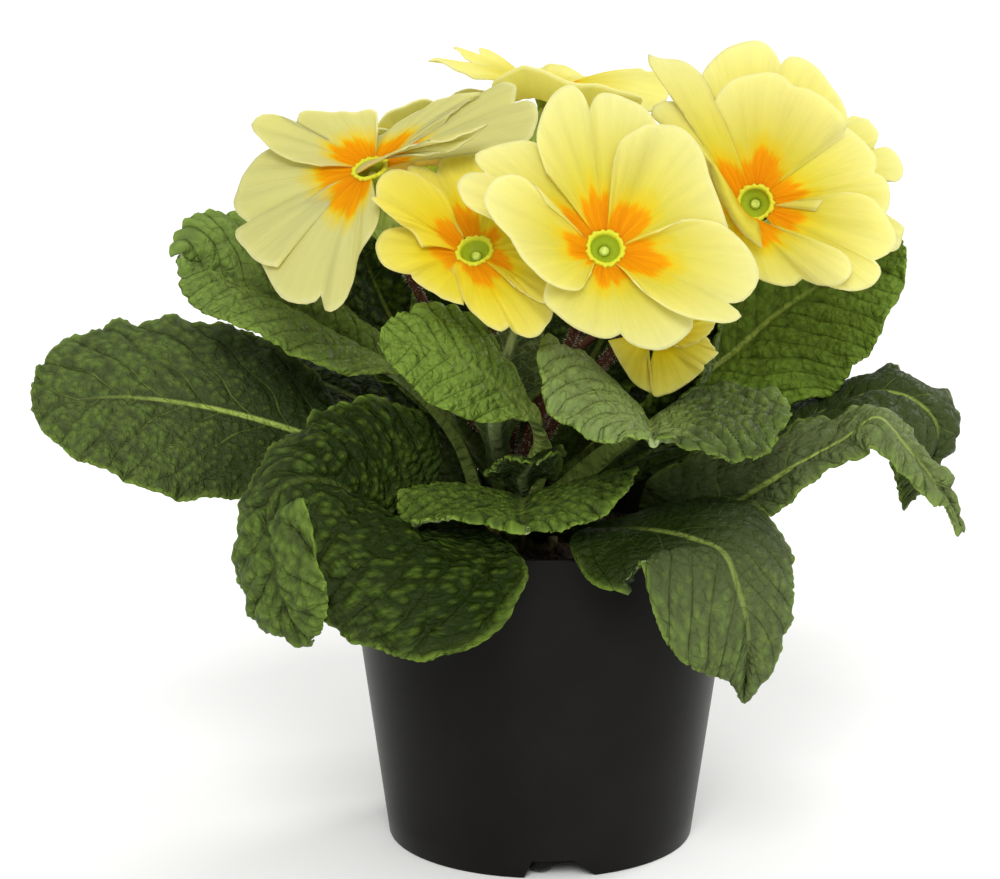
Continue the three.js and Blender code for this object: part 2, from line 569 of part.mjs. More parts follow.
function potGeometry() {
  const inner = POT.foot - POT.ring;
  const floor = POT.lift + POT.plate;
  const slope = (POT.rim - POT.foot) / POT.height;
  const body = lathe([
    [0, 0], [POT.pad, 0], [POT.pad + 1.2, POT.lift], [inner - 0.6, POT.lift], [inner, 0], [POT.foot, 0],
    [POT.rim - 0.4 * slope, POT.height - 0.4], [POT.rim - 0.4, POT.height],
    [POT.rim - POT.wall, POT.height - 0.2], [POT.foot + floor * slope - POT.wall, floor], [0, floor],
  ], POT.sides);
  let pot = solid(body);
  for (let i = 0; i < POT.notches.count; i++) {
    const angle = rad(POT.notches.first + (i * 360) / POT.notches.count);
    const { left, right } = POT.notches;
    const opening = new THREE.Shape([
      new THREE.Vector2(2 * right[0] - right[1], -POT.lift), new THREE.Vector2(right[1], POT.lift),
      new THREE.Vector2(-left[1], POT.lift), new THREE.Vector2(left[1] - 2 * left[0], -POT.lift),
    ]);
    const notch = new THREE.ExtrudeGeometry(opening, { depth: 2 * POT.ring + 6, bevelEnabled: false });
    notch.rotateX(Math.PI / 2).rotateZ(Math.PI / 2).translate(POT.foot - POT.ring - 3, 0, 0).rotateZ(angle);
    pot = pot.subtract(solid(notch));
    const { circle, radius, clear, aside } = POT.nubs;
    const rise = POT.lift + 0.5 * POT.plate - clear;
    const nub = rod(radius, 0.7 * radius, rise, 10);
    nub.translate(circle, 0, clear + rise / 2).rotateZ(angle + rad(aside));
    pot = pot.add(solid(nub));
  }
  for (let i = 0; i < POT.drains.count; i++) {
    const drain = rod(POT.drains.radius, POT.drains.radius, 20, 12);
    drain.translate(POT.drains.circle, 0, 0).rotateZ(rad((i * 360) / POT.drains.count));
    pot = pot.subtract(solid(drain));
  }
  return geometryOf(pot);
}

function soilGeometry() {
  const slope = (POT.rim - POT.foot) / POT.height;
  const wallAt = (z) => POT.foot + z * slope - POT.wall - 1.5 * GAP;
  const bottom = POT.lift + POT.plate + GAP;
  const body = solid(lathe([
    [0, bottom], [wallAt(bottom), bottom], [wallAt(SOIL.edge), SOIL.edge], [32, SOIL.edge + 1.4],
    [24, SOIL.edge + 0.6], [16, SOIL.mound - 0.6], [0, SOIL.mound],
  ], POT.sides));
  const radius = CROWN.profile[2][0] + 1.5 * GAP;
  const well = rod(radius, radius, 20, 20);
  well.translate(CROWN.x, CROWN.y, SOIL.well + 10);
  return geometryOf(body.subtract(solid(well)));
}

function crownGeometry() {
  return lathe(CROWN.profile, CROWN.sides).translate(CROWN.x, CROWN.y, 0);
}

// Leaves

const curve = (points) => new THREE.CatmullRomCurve3(points, false, "centripetal");

function seatOf(leaf) {
  const [direction, tier] = leaf.seat;
  const [distance, height] = TIERS[tier];
  const spot = turn(direction).multiplyScalar(distance);
  return spot.add(new THREE.Vector3(CROWN.x, CROWN.y, height));
}

// Share of the half width at t: a narrow winged stalk, a slow widening, then a round tip.
function leafOutline(leaf, t) {
  const stalk = BLADE.petiole / leaf.half;
  if (t <= leaf.petiole) return stalk;
  if (t <= leaf.widest) {
    const s = (t - leaf.petiole) / (leaf.widest - leaf.petiole);
    return mix(stalk, 1, Math.sin((Math.PI / 2) * s) ** 1.6);
  }
  const s = (t - leaf.widest) / (1 - leaf.widest);
  return Math.sqrt(Math.max(1 - s * s, 0));
}

// Rows are closer together round the tip, where the outline turns.
function leafRow(leaf, k) {
  const turned = 0.42;
  if (k <= 1 - turned) return (k / (1 - turned)) * leaf.widest;
  const angle = ((k - 1 + turned) / turned) * rad(78);
  return mix(leaf.widest, 1, Math.sin(angle));
}

function leafFace(leaf, t) {
  const [base, middle, tip] = leaf.face.map((p) => vector(p).normalize());
  return t < 0.5 ? base.lerp(middle, 2 * t) : middle.lerp(tip, 2 * t - 1);
}

// Offset across the blade at distance d from the midrib: the section starts at lift and turns by curl.
function section(width, d, lift, curl) {
  const turned = Math.abs(curl) < 1e-3 ? 1e-3 : curl;
  const end = lift + (turned * d) / width;
  const across = (width / turned) * (Math.sin(end) - Math.sin(lift));
  const up = (width / turned) * (Math.cos(lift) - Math.cos(end));
  return { across, up };
}

function plainBlade(leaf) {
  const spine = curve([seatOf(leaf), ...leaf.spine.map(vector)]);
  const opening = (t) => THREE.MathUtils.smoothstep(t, leaf.petiole * 0.6, leaf.widest * 0.8);
  const spot = (t, v) => {
    const along = spine.getTangentAt(t);
    const face = leafFace(leaf, t);
    face.addScaledVector(along, -face.dot(along)).normalize();
    const side = new THREE.Vector3().crossVectors(along, face);
    const width = leaf.half * leafOutline(leaf, t);
    const [lift, curl] = (v < 0 ? leaf.left : leaf.right).map((angle) => rad(angle) * opening(t));
    const { across, up } = section(width, width * Math.abs(v), lift, curl);
    return spine.getPointAt(t).addScaledVector(side, Math.sign(v) * across).addScaledVector(face, up);
  };
  const rows = Array.from({ length: LEAF_ROWS + 1 }, (_, i) => leafRow(leaf, i / LEAF_ROWS));
  return { rows, opening, spot };
}

function foldedBlade(leaf) {
  const ribs = leaf.ribs.map((rib) => rib.map(vector));
  const petiole = [seatOf(leaf), ...leaf.stalk.map(vector)];
  const tip = vector(leaf.tip);
  const middle = [...petiole, ...ribs.map((rib) => rib[1]), tip];
  const edge = (end, sign) => petiole.map((point, i) => {
    const along = middle[i + 1].clone().sub(middle[Math.max(i - 1, 0)]).normalize();
    const side = ribs[0][2].clone().sub(ribs[0][0]);
    side.addScaledVector(along, -side.dot(along)).normalize();
    return point.clone().addScaledVector(side, sign * BLADE.petiole);
  }).concat(ribs.map((rib) => rib[end]));
  const spine = curve(middle);
  const outline = curve([...edge(0, -1), tip, ...edge(2, 1).reverse()]);
  const start = (petiole.length - 1) / (middle.length - 1);
  const opening = (t) => THREE.MathUtils.smoothstep(t, start, start + 0.25);
  const spot = (t, v) => {
    const centre = spine.getPoint(t);
    const left = outline.getPoint(t / 2);
    const right = outline.getPoint(1 - t / 2);
    const face = new THREE.Vector3().crossVectors(right.clone().sub(left), spine.getTangent(t)).normalize();
    const reach = Math.abs(v);
    const arch = leaf.bulge[v < 0 ? 0 : 1] * 4 * reach * (1 - reach) * opening(t);
    return centre.lerp(v < 0 ? left : right, reach).addScaledVector(face, arch);
  };
  const count = Math.ceil((middle.length - 1) * 1.1);
  const rows = Array.from({ length: count + 1 }, (_, i) => (LAST_ROW * i) / count);
  return { rows, opening, spot };
}

// The way the upper side looks at each point of a grid of rows from base to tip.
function gridNormals(grid) {
  const rows = grid.length - 1;
  const columns = grid[0].length - 1;
  return grid.map((row, i) => row.map((_, j) => {
    const along = grid[Math.min(i + 1, rows)][j].clone().sub(grid[Math.max(i - 1, 0)][j]);
    const across = row[Math.min(j + 1, columns)].clone().sub(row[Math.max(j - 1, 0)]);
    return across.cross(along).normalize();
  }));
}

function leafGeometry(leaf, number) {
  const { rows, opening, spot } = leaf.ribs ? foldedBlade(leaf) : plainBlade(leaf);
  const grid = [];
  const columns = [];
  rows.forEach((t, i) => {
    const tooth = 1 + BLADE.tooth * (i % 2 ? 1 : -1) * opening(t);
    const width = spot(t, 1).distanceTo(spot(t, -1)) / 2;
    const rib = Math.min(0.45, 1.5 / width);
    columns.push([-1, -0.6, -rib, 0, rib, 0.6, 1]);
    grid.push(columns[i].map((v) => {
      const centre = spot(t, 0);
      return Math.abs(v) === 1 ? centre.add(spot(t, v).sub(centre).multiplyScalar(tooth)) : spot(t, v);
    }));
  });
  gridNormals(grid).forEach((row, i) => row.forEach((normal, j) => {
    const v = columns[i][j];
    const lobe = i % 2 ? 1 : -1;
    const ripple = v * v * leaf.wave * Math.sin(9 * rows[i] + 2.4 * number + 1.5 * Math.sign(v));
    const swell = Math.abs(v) > 0.5 ? BLADE.pucker * lobe * (1 - 0.5 * Math.abs(v)) : 0;
    grid[i][j].addScaledVector(normal, (ripple + swell) * opening(rows[i]));
  }));
  const normals = gridNormals(grid);
  const shift = (distance) => grid.map((row, i) => row.map((point, j) => {
    return point.clone().addScaledVector(normals[i][j], distance(rows[i], columns[i][j]));
  }));
  const keel = (t, v) => (v === 0 ? mix(BLADE.rib, BLADE.tipRib, t) : 0);
  return slab(shift(() => BLADE.thickness / 2), shift((t, v) => -BLADE.thickness / 2 - keel(t, v)));
}

// Blooms

// Axes of a bloom: out along the way it faces, up and right as seen from in front.
function bloomFrame(eye, facing) {
  const out = vector(facing).normalize();
  const up = new THREE.Vector3(0, 0, 1).addScaledVector(out, -out.z).normalize();
  const right = new THREE.Vector3().crossVectors(up, out);
  return { eye: vector(eye), out, up, right };
}

// Moves a geometry made about +Z, with its mouth at the origin, to the bloom.
function toBloom(geometry, { eye, out, up, right }) {
  return geometry.applyMatrix4(new THREE.Matrix4().makeBasis(right, up, out).setPosition(eye));
}

// A lobe of the usual form: a wedge with rounded shoulders and a notched tip.
function plainLobe([direction, length, halfAngle, lift, notch]) {
  const spot = (side, share) => {
    const angle = rad(direction + side * halfAngle);
    const reach = length * share;
    return [Math.sin(angle) * reach, Math.cos(angle) * reach, reach * Math.tan(rad(lift))];
  };
  return {
    left: [spot(-1, 0.6), spot(-1, 0.8), spot(-0.75, 0.97), spot(-0.3, 1)],
    right: [spot(0.3, 1), spot(0.75, 0.97), spot(1, 0.8), spot(1, 0.6)],
    notch: spot(0, 1 - notch), bulge: 1,
  };
}

// One lobe about +Z, with its foot on the throat's ring and its outer edge along the rim.
function lobeSolid({ left, notch, right, bulge, claw = LOBE.claw }) {
  const leftRim = curve([...left, notch].map(vector));
  const rightRim = curve([notch, ...right].map(vector));
  const rim = LOBE_COLUMNS.map((v) => (v < 0 ? leftRim.getPointAt(1 + v) : rightRim.getPointAt(v)));
  const [start, last] = [rim[0], rim.at(-1)].map((point) => Math.atan2(point.x, point.y));
  const end = last < start ? last + 2 * Math.PI : last;
  const spread = Math.min((end - start) / 2, rad(claw));
  const grid = LOBE_ROWS.map((u) => rim.map((edge, j) => {
    const v = LOBE_COLUMNS[j];
    const angle = (start + end) / 2 + v * spread;
    const foot = new THREE.Vector3(Math.sin(angle), Math.cos(angle), 0).multiplyScalar(LOBE.root);
    const arch = bulge * 4 * u * (1 - u) * (1 - 0.4 * v * v);
    return foot.lerp(edge, u).add(new THREE.Vector3(0, 0, arch));
  }));
  const normals = gridNormals(grid);
  const shift = (distance) => grid.map((row, i) => row.map((point, j) => {
    return point.clone().addScaledVector(normals[i][j], distance);
  }));
  return solid(slab(shift(LOBE.thickness / 2), shift(-LOBE.thickness / 2)));
}

function throatGeometry() {
  const { mouth, rim, bore, tube, funnel, length } = THROAT;
  return lathe([
    [bore, -length], [tube, -length], [tube, -funnel - 1], [rim, -0.9], [rim, 0.2], [mouth, 0.5],
    [bore, -funnel], [bore, -length],
  ], 8);
}

function petalGeometry({ lobes, plainLobes = [] }) {
  let corolla = solid(throatGeometry());
  for (const lobe of [...lobes, ...plainLobes.map(plainLobe)]) corolla = corolla.add(lobeSolid(lobe));
  return geometryOf(corolla);
}

// A ribbed cup of five pointed sepals joined to the tips.
function calyxGeometry() {
  const { inner, outer, rib, top, teeth, floor, base } = CALYX;
  const cup = lathe([
    [0, -base], [outer * 0.55, -base], [outer, -base + 2.5], [outer, -top], [inner, -top],
    [inner * 0.9, -floor], [0, -floor],
  ], 10);
  const position = cup.attributes.position;
  for (let i = 0; i < position.count; i++) {
    const point = new THREE.Vector3().fromBufferAttribute(position, i);
    const radius = Math.hypot(point.x, point.y);
    const peak = Math.cos(5 * Math.atan2(point.y, point.x));
    const swell = 1 + (rib * peak) / outer;
    if (radius > outer - 0.1) point.multiply(new THREE.Vector3(swell, swell, 1));
    if (point.z > -top - 0.1) point.z += teeth * 0.5 * peak;
    position.setXYZ(i, point.x, point.y, point.z);
  }
  return cup;
}

function pistilGeometry() {
  const { style, globe, top, length } = PISTIL;
  return lathe([
    [0, -length], [style, -length], [style, -top - 2 * globe], [globe, -top - globe * 1.4],
    [globe, -top - globe * 0.6], [0, -top],
  ], 5);
}

// Round stalk from the crown's top ring through its bends to the underside of the calyx.
function stalkGeometry(spot, bend, { eye, out }) {
  const start = turn(spot).multiplyScalar(STALK.ring);
  start.add(new THREE.Vector3(CROWN.x, CROWN.y, CROWN.profile[5][1] + GAP));
  const end = eye.clone().addScaledVector(out, -CALYX.base - GAP);
  const before = end.clone().addScaledVector(out, -6);
  const above = start.clone().add(new THREE.Vector3(0, 0, 4));
  const path = curve([start, above, ...bend.map(vector), before, end]);
  const section = new THREE.Shape();
  section.absarc(0, 0, STALK.radius, 0, 2 * Math.PI);
  return new THREE.ExtrudeGeometry(section, {
    steps: 9, curveSegments: 3, bevelEnabled: false, extrudePath: path,
  });
}

// Furled petals: a blunt cone that stands in its calyx.
function budGeometry() {
  const { radius, length } = BUD;
  const neck = CALYX.inner - 2 * GAP;
  return lathe([
    [0, -CALYX.floor + GAP], [neck * 0.8, -CALYX.floor + GAP], [neck, -CALYX.top], [radius, -3.4],
    [radius * 0.8, 0.5], [radius * 0.3, length - CALYX.floor], [0, length - CALYX.floor + 0.3],
  ], 10);
}

// The scene graph

const plastic = new THREE.MeshStandardMaterial({ color: 0x232220, roughness: 0.5 });
const peat = new THREE.MeshStandardMaterial({ color: 0x2b1d14, roughness: 0.95 });
const rootstock = new THREE.MeshStandardMaterial({ color: 0x6d6a3c, roughness: 0.9 });
const leafGreen = new THREE.MeshStandardMaterial({ color: 0x2f5a1f, roughness: 0.5 });
const petalYellow = new THREE.MeshStandardMaterial({ color: 0xf0e878, roughness: 0.6 });
const calyxGreen = new THREE.MeshStandardMaterial({ color: 0x8fae3c, roughness: 0.6 });
const stalkRed = new THREE.MeshStandardMaterial({ color: 0x6b3a28, roughness: 0.6 });
const stigmaGreen = new THREE.MeshStandardMaterial({ color: 0xb4c846, roughness: 0.5 });

const plant = new THREE.Group();

function place(name, geometry, material) {
  const mesh = new THREE.Mesh(geometry, material);
  mesh.name = name;
  plant.add(mesh);
}

const numbered = (word, i) => word + "_" + String(i + 1).padStart(2, "0");

place("pot", potGeometry(), plastic);
place("soil", soilGeometry(), peat);
place("crown", crownGeometry(), rootstock);
LEAVES.forEach((leaf, i) => place(numbered("leaf", i), leafGeometry(leaf, i), leafGreen));
BLOOMS.forEach((bloom, i) => {
  const name = numbered("bloom", i);
  const frame = bloomFrame(bloom.eye, bloom.facing);
  place(name + "_petals", toBloom(petalGeometry(bloom), frame), petalYellow);
  place(name + "_calyx", toBloom(calyxGeometry(), frame), calyxGreen);
  place(name + "_stalk", stalkGeometry(bloom.spot, bloom.bend, frame), stalkRed);
  place(name + "_pistil", toBloom(pistilGeometry(), frame), stigmaGreen);
});
const budFrame = bloomFrame(BUD.tip, BUD.facing);
place("bud_petals", toBloom(budGeometry(), budFrame), petalYellow);
place("bud_calyx", toBloom(calyxGeometry(), budFrame), calyxGreen);
place("bud_stalk", stalkGeometry(BUD.spot, BUD.bend, budFrame), stalkRed);

export default plant;
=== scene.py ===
import math

import bpy
import numpy as np
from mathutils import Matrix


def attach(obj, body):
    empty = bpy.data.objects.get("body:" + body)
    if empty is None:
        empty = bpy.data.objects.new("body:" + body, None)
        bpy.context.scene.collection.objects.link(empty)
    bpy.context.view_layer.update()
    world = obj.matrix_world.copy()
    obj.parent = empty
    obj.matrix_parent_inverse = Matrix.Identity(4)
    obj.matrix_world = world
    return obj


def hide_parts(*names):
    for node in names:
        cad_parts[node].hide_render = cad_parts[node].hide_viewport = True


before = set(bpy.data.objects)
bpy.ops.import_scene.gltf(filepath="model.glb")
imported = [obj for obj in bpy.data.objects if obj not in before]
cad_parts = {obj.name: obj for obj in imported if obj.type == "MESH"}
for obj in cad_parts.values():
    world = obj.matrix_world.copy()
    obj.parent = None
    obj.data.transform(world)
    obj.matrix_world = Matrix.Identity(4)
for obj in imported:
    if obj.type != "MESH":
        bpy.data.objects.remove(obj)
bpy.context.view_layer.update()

MM = 0.001

# Driving dimensions, mm

POT = {
    "rim": 45, "foot": 34.7, "height": 75, "wall": 1.2, "ring": 2.6, "lift": 4.2, "plate": 1.4, "pad": 9,
    "notches": 3, "notch_left": [8.3, 6.6], "notch_right": [7.8, 2.4], "first_notch": -82, "nub_circle": 30,
    "nub_radius": 3.1, "nub_clear": 0.4, "nub_aside": -8, "drains": 6, "drain_radius": 3, "drain_circle": 20,
}
SOIL = {"edge": 65.5, "mound": 68, "gap": 0.45}
CROWN = {"x": -5, "y": 0, "foot": 60.3, "top": 84, "radius": 9.3, "neck": 5.9}
TIERS = [[9.6, 71.5], [8.1, 76], [7, 80.5]]  # [distance from the crown's axis, height] of the leaf seats
BLADE = {"thickness": 0.45, "petiole": 2.6, "rib": 2, "tip_rib": 0.5}
CELL = {"along": 0.62, "across": 0.85, "hidden": 1.5}  # rows and columns of a blade; coarser at the back
SIDE_VEINS = {"least": 3.2, "most": 10.5, "bend": 0.006}  # spacing and curve
QUILT = {"panel": 0.7, "minor": 0.4, "pucker": 1.4, "pitch": 2.6, "stretch": 1.6}  # relief of a blade
MARGIN = {
    "lobe": 1.2, "lobe_pitch": 17, "scallop": 0.45, "tooth": 0.22, "pitch": 2.2, "crimp": 0.3, "frill": 0.8,
    "frill_pitch": [13, 6.1], "full": 20,
}
LOBE = {"thickness": 0.4, "root": 3.5, "claw": 38, "columns": 20, "rows": 28}
STAR = 0.44  # reach of the orange star, as a share of the longest lobe
THROAT = {"mouth": 3.1, "rim": 4.1, "bore": 1.3, "tube": 2.1, "funnel": 3.4, "length": 17}
CALYX = {"inner": 2.9, "outer": 3.6, "rib": 0.7, "top": 7, "teeth": 3.5, "floor": 17.4, "base": 19}
PISTIL = {"style": 0.5, "globe": 1.1, "top": 0.6, "length": 16.8}
STALK = {"radius": 1.25, "ring": 4.3}
BUD = {"eye": [30, 34, 140], "facing": [0.35, 0.35, 0.87], "spot": 80, "bend": [[4, 10, 106]]}

# Leaves with a plain blade: seat is [direction round the crown in degrees, tier]; spine is the midrib from
# there to the tip; face is the way the upper side looks at the base, middle and tip; half is the half width
# at the widest, at the share widest of the length; petiole is the share that is stalk; left and right are
# [lift, curl] in degrees of each half. Leaves that fold or twist: stalk is the petiole, each rib is
# [left edge, midrib, right edge], bulge is how far each half arches up. wave is the height of the margin's
# waves, ruffle and relief scale its frills and the blade's relief, veins is the number of side veins and
# sweep their slant. Mostly from 0 to 1: tone is how light the green is, partly the leaf's own green and
# partly painted shade on leaves that stand in shadow; tip_light how much lighter and greyer its end is
# painted, as painted light; sides how much lighter each half is painted, as painted light and shade; sage
# how grey, partly the down and partly painted sheen; rib how pale the midrib is and pucker how strongly the
# blade is puckered. A leaf holds what differs from USUAL.
USUAL = {
    "widest": 0.62, "petiole": 0.2, "left": [4, -12], "right": [4, -12], "wave": 1, "ruffle": 1,
    "relief": 1, "veins": 11, "sweep": 0.8, "tone": -0.3, "tip_light": 0, "sides": [0, 0], "sage": 0,
    "rib": 0.3, "pucker": 0.5,
}
LEAVES = [
    {
        "seat": [180, 0],
        "spine": [[-34, -4, 85], [-54, -1, 93], [-77, 0, 99], [-97, -3, 101.5], [-113, -7, 99.5]],
        "face": [[0, 0, 1], [0.1, -0.6, 0.8], [0.1, -0.6, 0.8]], "half": 25.3, "widest": 0.67,
        "left": [-4, -8], "right": [6, -10], "wave": 1.2, "ruffle": 0.9, "sweep": 0.9, "tone": -0.62,
        "tip_light": 0.5, "sage": 0.05, "rib": 1, "pucker": 0.45,
    },
    {
        "seat": [172, 1], "stalk": [[-18, -1, 91], [-25, 1, 100]],
        "ribs": [
            [[-31, -8, 107], [-32, 2, 106], [-34, 9, 110]],
            [[-42, -14, 108], [-42, 3, 112], [-41, 12, 117]],
            [[-53, -16, 112], [-52, 4, 118], [-50, 15, 124]],
            [[-65, -14, 119], [-64, 4, 124], [-60, 17, 135]],
            [[-75, -8, 122], [-73, 3, 129], [-72, 13, 140]], [[-80, -5, 126], [-78, 1, 131], [-80, 7, 137]],
        ],
        "tip": [-81, 0, 132], "bulge": [2.5, 2], "wave": 1.6, "ruffle": 0.5, "tone": 0.3, "tip_light": 0.25,
        "veins": 16, "sage": 0.2, "rib": 0.1, "pucker": 0.6,
    },
    {
        "seat": [132, 2], "spine": [[-20, 13, 92], [-29, 20, 105], [-38, 27, 121], [-43, 32, 134]],
        "face": [[0.5, -0.5, 0.6], [0.5, -0.6, 0.5], [0.5, -0.6, 0.5]], "half": 15, "left": [10, 0],
        "right": [10, 0], "tone": -0.25, "rib": 0.6, "pucker": 0.3,
    },
    {
        "seat": [222, 0], "stalk": [[-16, -20, 78], [-23, -31, 79]],
        "ribs": [
            [[-9, -46, 80], [-30, -38, 79.5], [-23, -22, 96]],
            [[-3, -53, 75], [-36, -43, 83], [-29, -24, 103]],
            [[-8, -56, 64], [-41, -45, 90], [-41, -28, 105]],
            [[-23, -58, 57], [-48, -48, 93], [-51, -34, 101]],
            [[-41, -55, 62], [-54, -50, 92], [-60, -40, 94]],
            [[-48.5, -51, 71], [-57, -52, 87], [-64, -43, 85.5]],
            [[-48.5, -62, 90], [-56, -57, 84], [-64, -49, 80.5]],
            [[-45.5, -67, 81.5], [-55, -61, 76.5], [-63.5, -51, 73.5]],
            [[-44, -67, 71.5], [-52.5, -61, 68.5], [-59, -53, 64.5]],
        ],
        "tip": [-47, -61, 62.5], "bulge": [2, 2], "ruffle": 0.8, "tone": -0.42, "tip_light": 0.45,
        "veins": 13, "rib": 0.1, "pucker": 0.9,
    },
    {
        "seat": [288, 2],
        "spine": [
            [0, -14, 92], [-1, -19, 100], [-9, -26, 109], [-18, -31, 116], [-26, -33, 119], [-34, -35, 120],
        ],
        "face": [[0.3, 0.2, 0.9], [0.2, -0.75, 0.6], [-0.1, -0.75, 0.65]], "half": 12.5, "widest": 0.72,
        "petiole": 0.35, "left": [0, -10], "right": [-8, -12], "tone": 0.95, "veins": 14, "sage": 0.15,
        "rib": 0.25, "pucker": 0.75,
    },
    {
        "seat": [302, 1], "stalk": [[5, -15, 83], [13, -20, 91], [20, -25, 98]],
        "ribs": [
            [[34, -20, 106], [23, -31, 102], [13, -24, 110]],
            [[45, -24, 109], [23, -39, 103], [4, -28, 117]],
            [[52, -32, 107], [23, -46, 103], [0, -36, 119]],
            [[51, -42, 103], [23, -53, 104], [0, -46, 112]], [[43, -52, 98], [23, -58, 104], [4, -54, 107]],
            [[33, -58, 101], [23, -61, 104], [14, -60, 104]],
        ],
        "tip": [23, -63, 105], "bulge": [1.5, 1.5], "tone": 0.5, "sides": [-0.62, 0], "veins": 17,
        "sage": 0.55, "pucker": 0.6,
    },
    {
        "seat": [30, 1],
        "spine": [
            [16, 8, 90], [31, 12, 100], [43, 15, 108], [53, 18, 116.5], [64, 19, 124], [81.5, 17, 134],
        ],
        "face": [[-0.5, -0.3, 0.8], [-0.3, -0.8, 0.55], [-0.3, -0.8, 0.55]], "half": 24, "widest": 0.66,
        "petiole": 0.3, "left": [6, -6], "right": [6, -10], "wave": 1.2, "tone": 0.45, "tip_light": 0.3,
        "veins": 19, "rib": 0.9, "pucker": 0.6,
    },
    {
        "seat": [2, 2], "spine": [[16, 1, 90], [30, 3, 98], [37, 5, 106], [40, 6, 118]],
        "face": [[-0.4, -0.3, 0.8], [-0.6, -0.7, 0.4], [-0.6, -0.7, 0.4]], "half": 8, "widest": 0.66,
        "petiole": 0.35, "left": [40, 20], "right": [40, 20], "wave": 0.8, "tone": -0.15, "rib": 0.2,
        "pucker": 1,
    },
    {
        "seat": [352, 1], "stalk": [[22, 0, 84], [40, 2, 90]],
        "ribs": [
            [[55, 11, 96], [53, 3, 92], [50, -7, 90]], [[69, 14, 102], [65, 2, 98], [60, -11, 93]],
            [[80, 13, 104], [76, 2, 102], [71, -12, 97]], [[88, 12, 100], [84, 2, 100], [76, -10, 93]],
            [[94, 8, 93], [89, 2, 94], [79, -7, 86]], [[91, 4, 89], [87, 0, 87], [79, -6, 82]],
        ],
        "tip": [82, -4, 79], "bulge": [2, 2], "wave": 1.2, "ruffle": 2, "tone": -1.2, "tip_light": 0.4,
        "veins": 14, "sage": 0.05, "rib": 0.7, "pucker": 0.6,
    },
    {
        "seat": [325, 0], "stalk": [[9, -17, 74], [22, -21, 73]],
        "ribs": [
            [[22, -15, 79], [33, -23, 76], [37, -28, 77]], [[25, -18, 87], [40, -25, 81], [45, -33, 82]],
            [[37, -20, 93], [48, -27, 87], [52, -35, 84]], [[51, -15, 95], [57, -28, 93], [58, -35, 91]],
            [[65, -13, 99], [65, -29, 98], [67, -36, 95]], [[74, -20, 102], [72, -30, 103], [70, -38, 98]],
            [[81, -27, 97], [78, -32, 97], [75, -36, 93]], [[86, -30, 92], [83, -33, 91], [81, -35, 88]],
            [[89, -31, 87], [87, -32, 85], [86, -34, 85]],
        ],
        "tip": [90, -31, 78], "bulge": [1, 1], "ruffle": 1.9, "tone": -0.7, "tip_light": 0.65, "veins": 14,
        "sage": 0.3, "rib": 0.9, "pucker": 0.6,
    },
    {
        "seat": [298, 0], "stalk": [[1, -16, 75], [12, -29, 78]],
        "ribs": [
            [[28, -27, 82], [19, -38, 80], [6, -48, 79]], [[38, -30, 85], [26, -45, 81], [10, -54, 73]],
            [[46, -37, 86], [32, -51, 81], [16, -55, 71]], [[52, -44, 80], [38, -55, 79], [21, -55, 77]],
            [[53, -50, 73], [41, -58, 72], [24, -58, 66]], [[51, -54, 64], [43, -59, 64], [31, -58, 55]],
            [[47, -56, 55], [43, -58, 56], [38, -57, 52]],
        ],
        "tip": [42, -55, 48], "bulge": [2, 2], "wave": 1.2, "ruffle": 0.4, "sweep": 1.7, "tone": -1.15,
        "tip_light": 1, "rib": 0.45, "relief": 0.45, "pucker": 0.35,
    },
    {
        "seat": [262, 0], "stalk": [[-4, -17, 81]],
        "ribs": [
            [[8, -24, 87], [-4, -27, 84], [-19, -28, 86]], [[20, -31, 91], [-4, -36, 85], [-30, -37, 87.5]],
            [[19, -43, 90], [-4, -47, 86], [-29, -44, 83]], [[11, -54, 86], [-4, -56, 86], [-21, -54, 86]],
        ],
        "tip": [-3, -60, 85], "bulge": [0.5, 1], "ruffle": 0.6, "tone": 0.05, "veins": 12, "sage": 0.05,
        "rib": 0.2, "pucker": 0.35,
    },
    {
        "seat": [263, 1], "spine": [[-4, -17, 85], [-4, -24, 90], [-2, -31, 94], [-1, -38, 95]],
        "face": [[0, -0.3, 1], [0, -0.6, 0.8], [0, -0.4, 0.9]], "half": 9, "petiole": 0.25,
        "left": [6, -10], "right": [6, -10], "wave": 0.8, "tone": -0.4, "rib": 0.2,
    },
    {
        "seat": [244, 2], "spine": [[-10, -11, 94], [-10, -13, 104], [-7, -13, 115], [-3, -10, 126]],
        "face": [[0, 0.9, 0.5], [-0.2, 0.9, 0.2], [-0.2, 0.9, 0.4]], "half": 12, "petiole": 0.24,
        "left": [10, 10], "right": [60, 10], "wave": 0.8, "tone": -0.35, "pucker": 0.6,
    },
    {
        "seat": [148, 0], "spine": [[-28, 14, 88], [-46, 22, 98], [-64, 32, 101], [-81, 41, 95]],
        "face": [[0, -0.2, 1], [0, -0.4, 1], [0, -0.2, 1]], "half": 20, "widest": 0.6, "petiole": 0.08,
        "wave": 1.4, "tone": -0.35,
    },
    {
        "seat": [112, 0], "spine": [[-12, 23, 92], [-19, 39, 107], [-23, 55, 113], [-26, 69, 109]],
        "face": [[0, -0.5, 1], [0, -0.4, 1], [0, 0.2, 1]], "half": 18, "widest": 0.64, "petiole": 0.06,
        "wave": 1.4,
    },
    {
        "seat": [84, 1], "spine": [[-1, 24, 85], [6, 40, 91], [9, 54, 93], [12, 68, 90]],
        "face": [[0, 0, 1], [0, -0.2, 1], [0, 0.2, 1]], "half": 18, "widest": 0.64, "left": [8, -12],
        "right": [8, -12], "wave": 1.4,
    },
    {
        "seat": [60, 0], "spine": [[10, 20, 92], [22, 36, 105], [33, 52, 110], [42, 66, 105]],
        "face": [[0, -0.4, 1], [0, -0.3, 1], [0, 0.3, 1]], "half": 21, "widest": 0.64, "petiole": 0.08,
        "wave": 1.4,
    },
    {
        "seat": [26, 0], "spine": [[22, 13, 84], [42, 20, 90], [60, 28, 91], [76, 34, 84]],
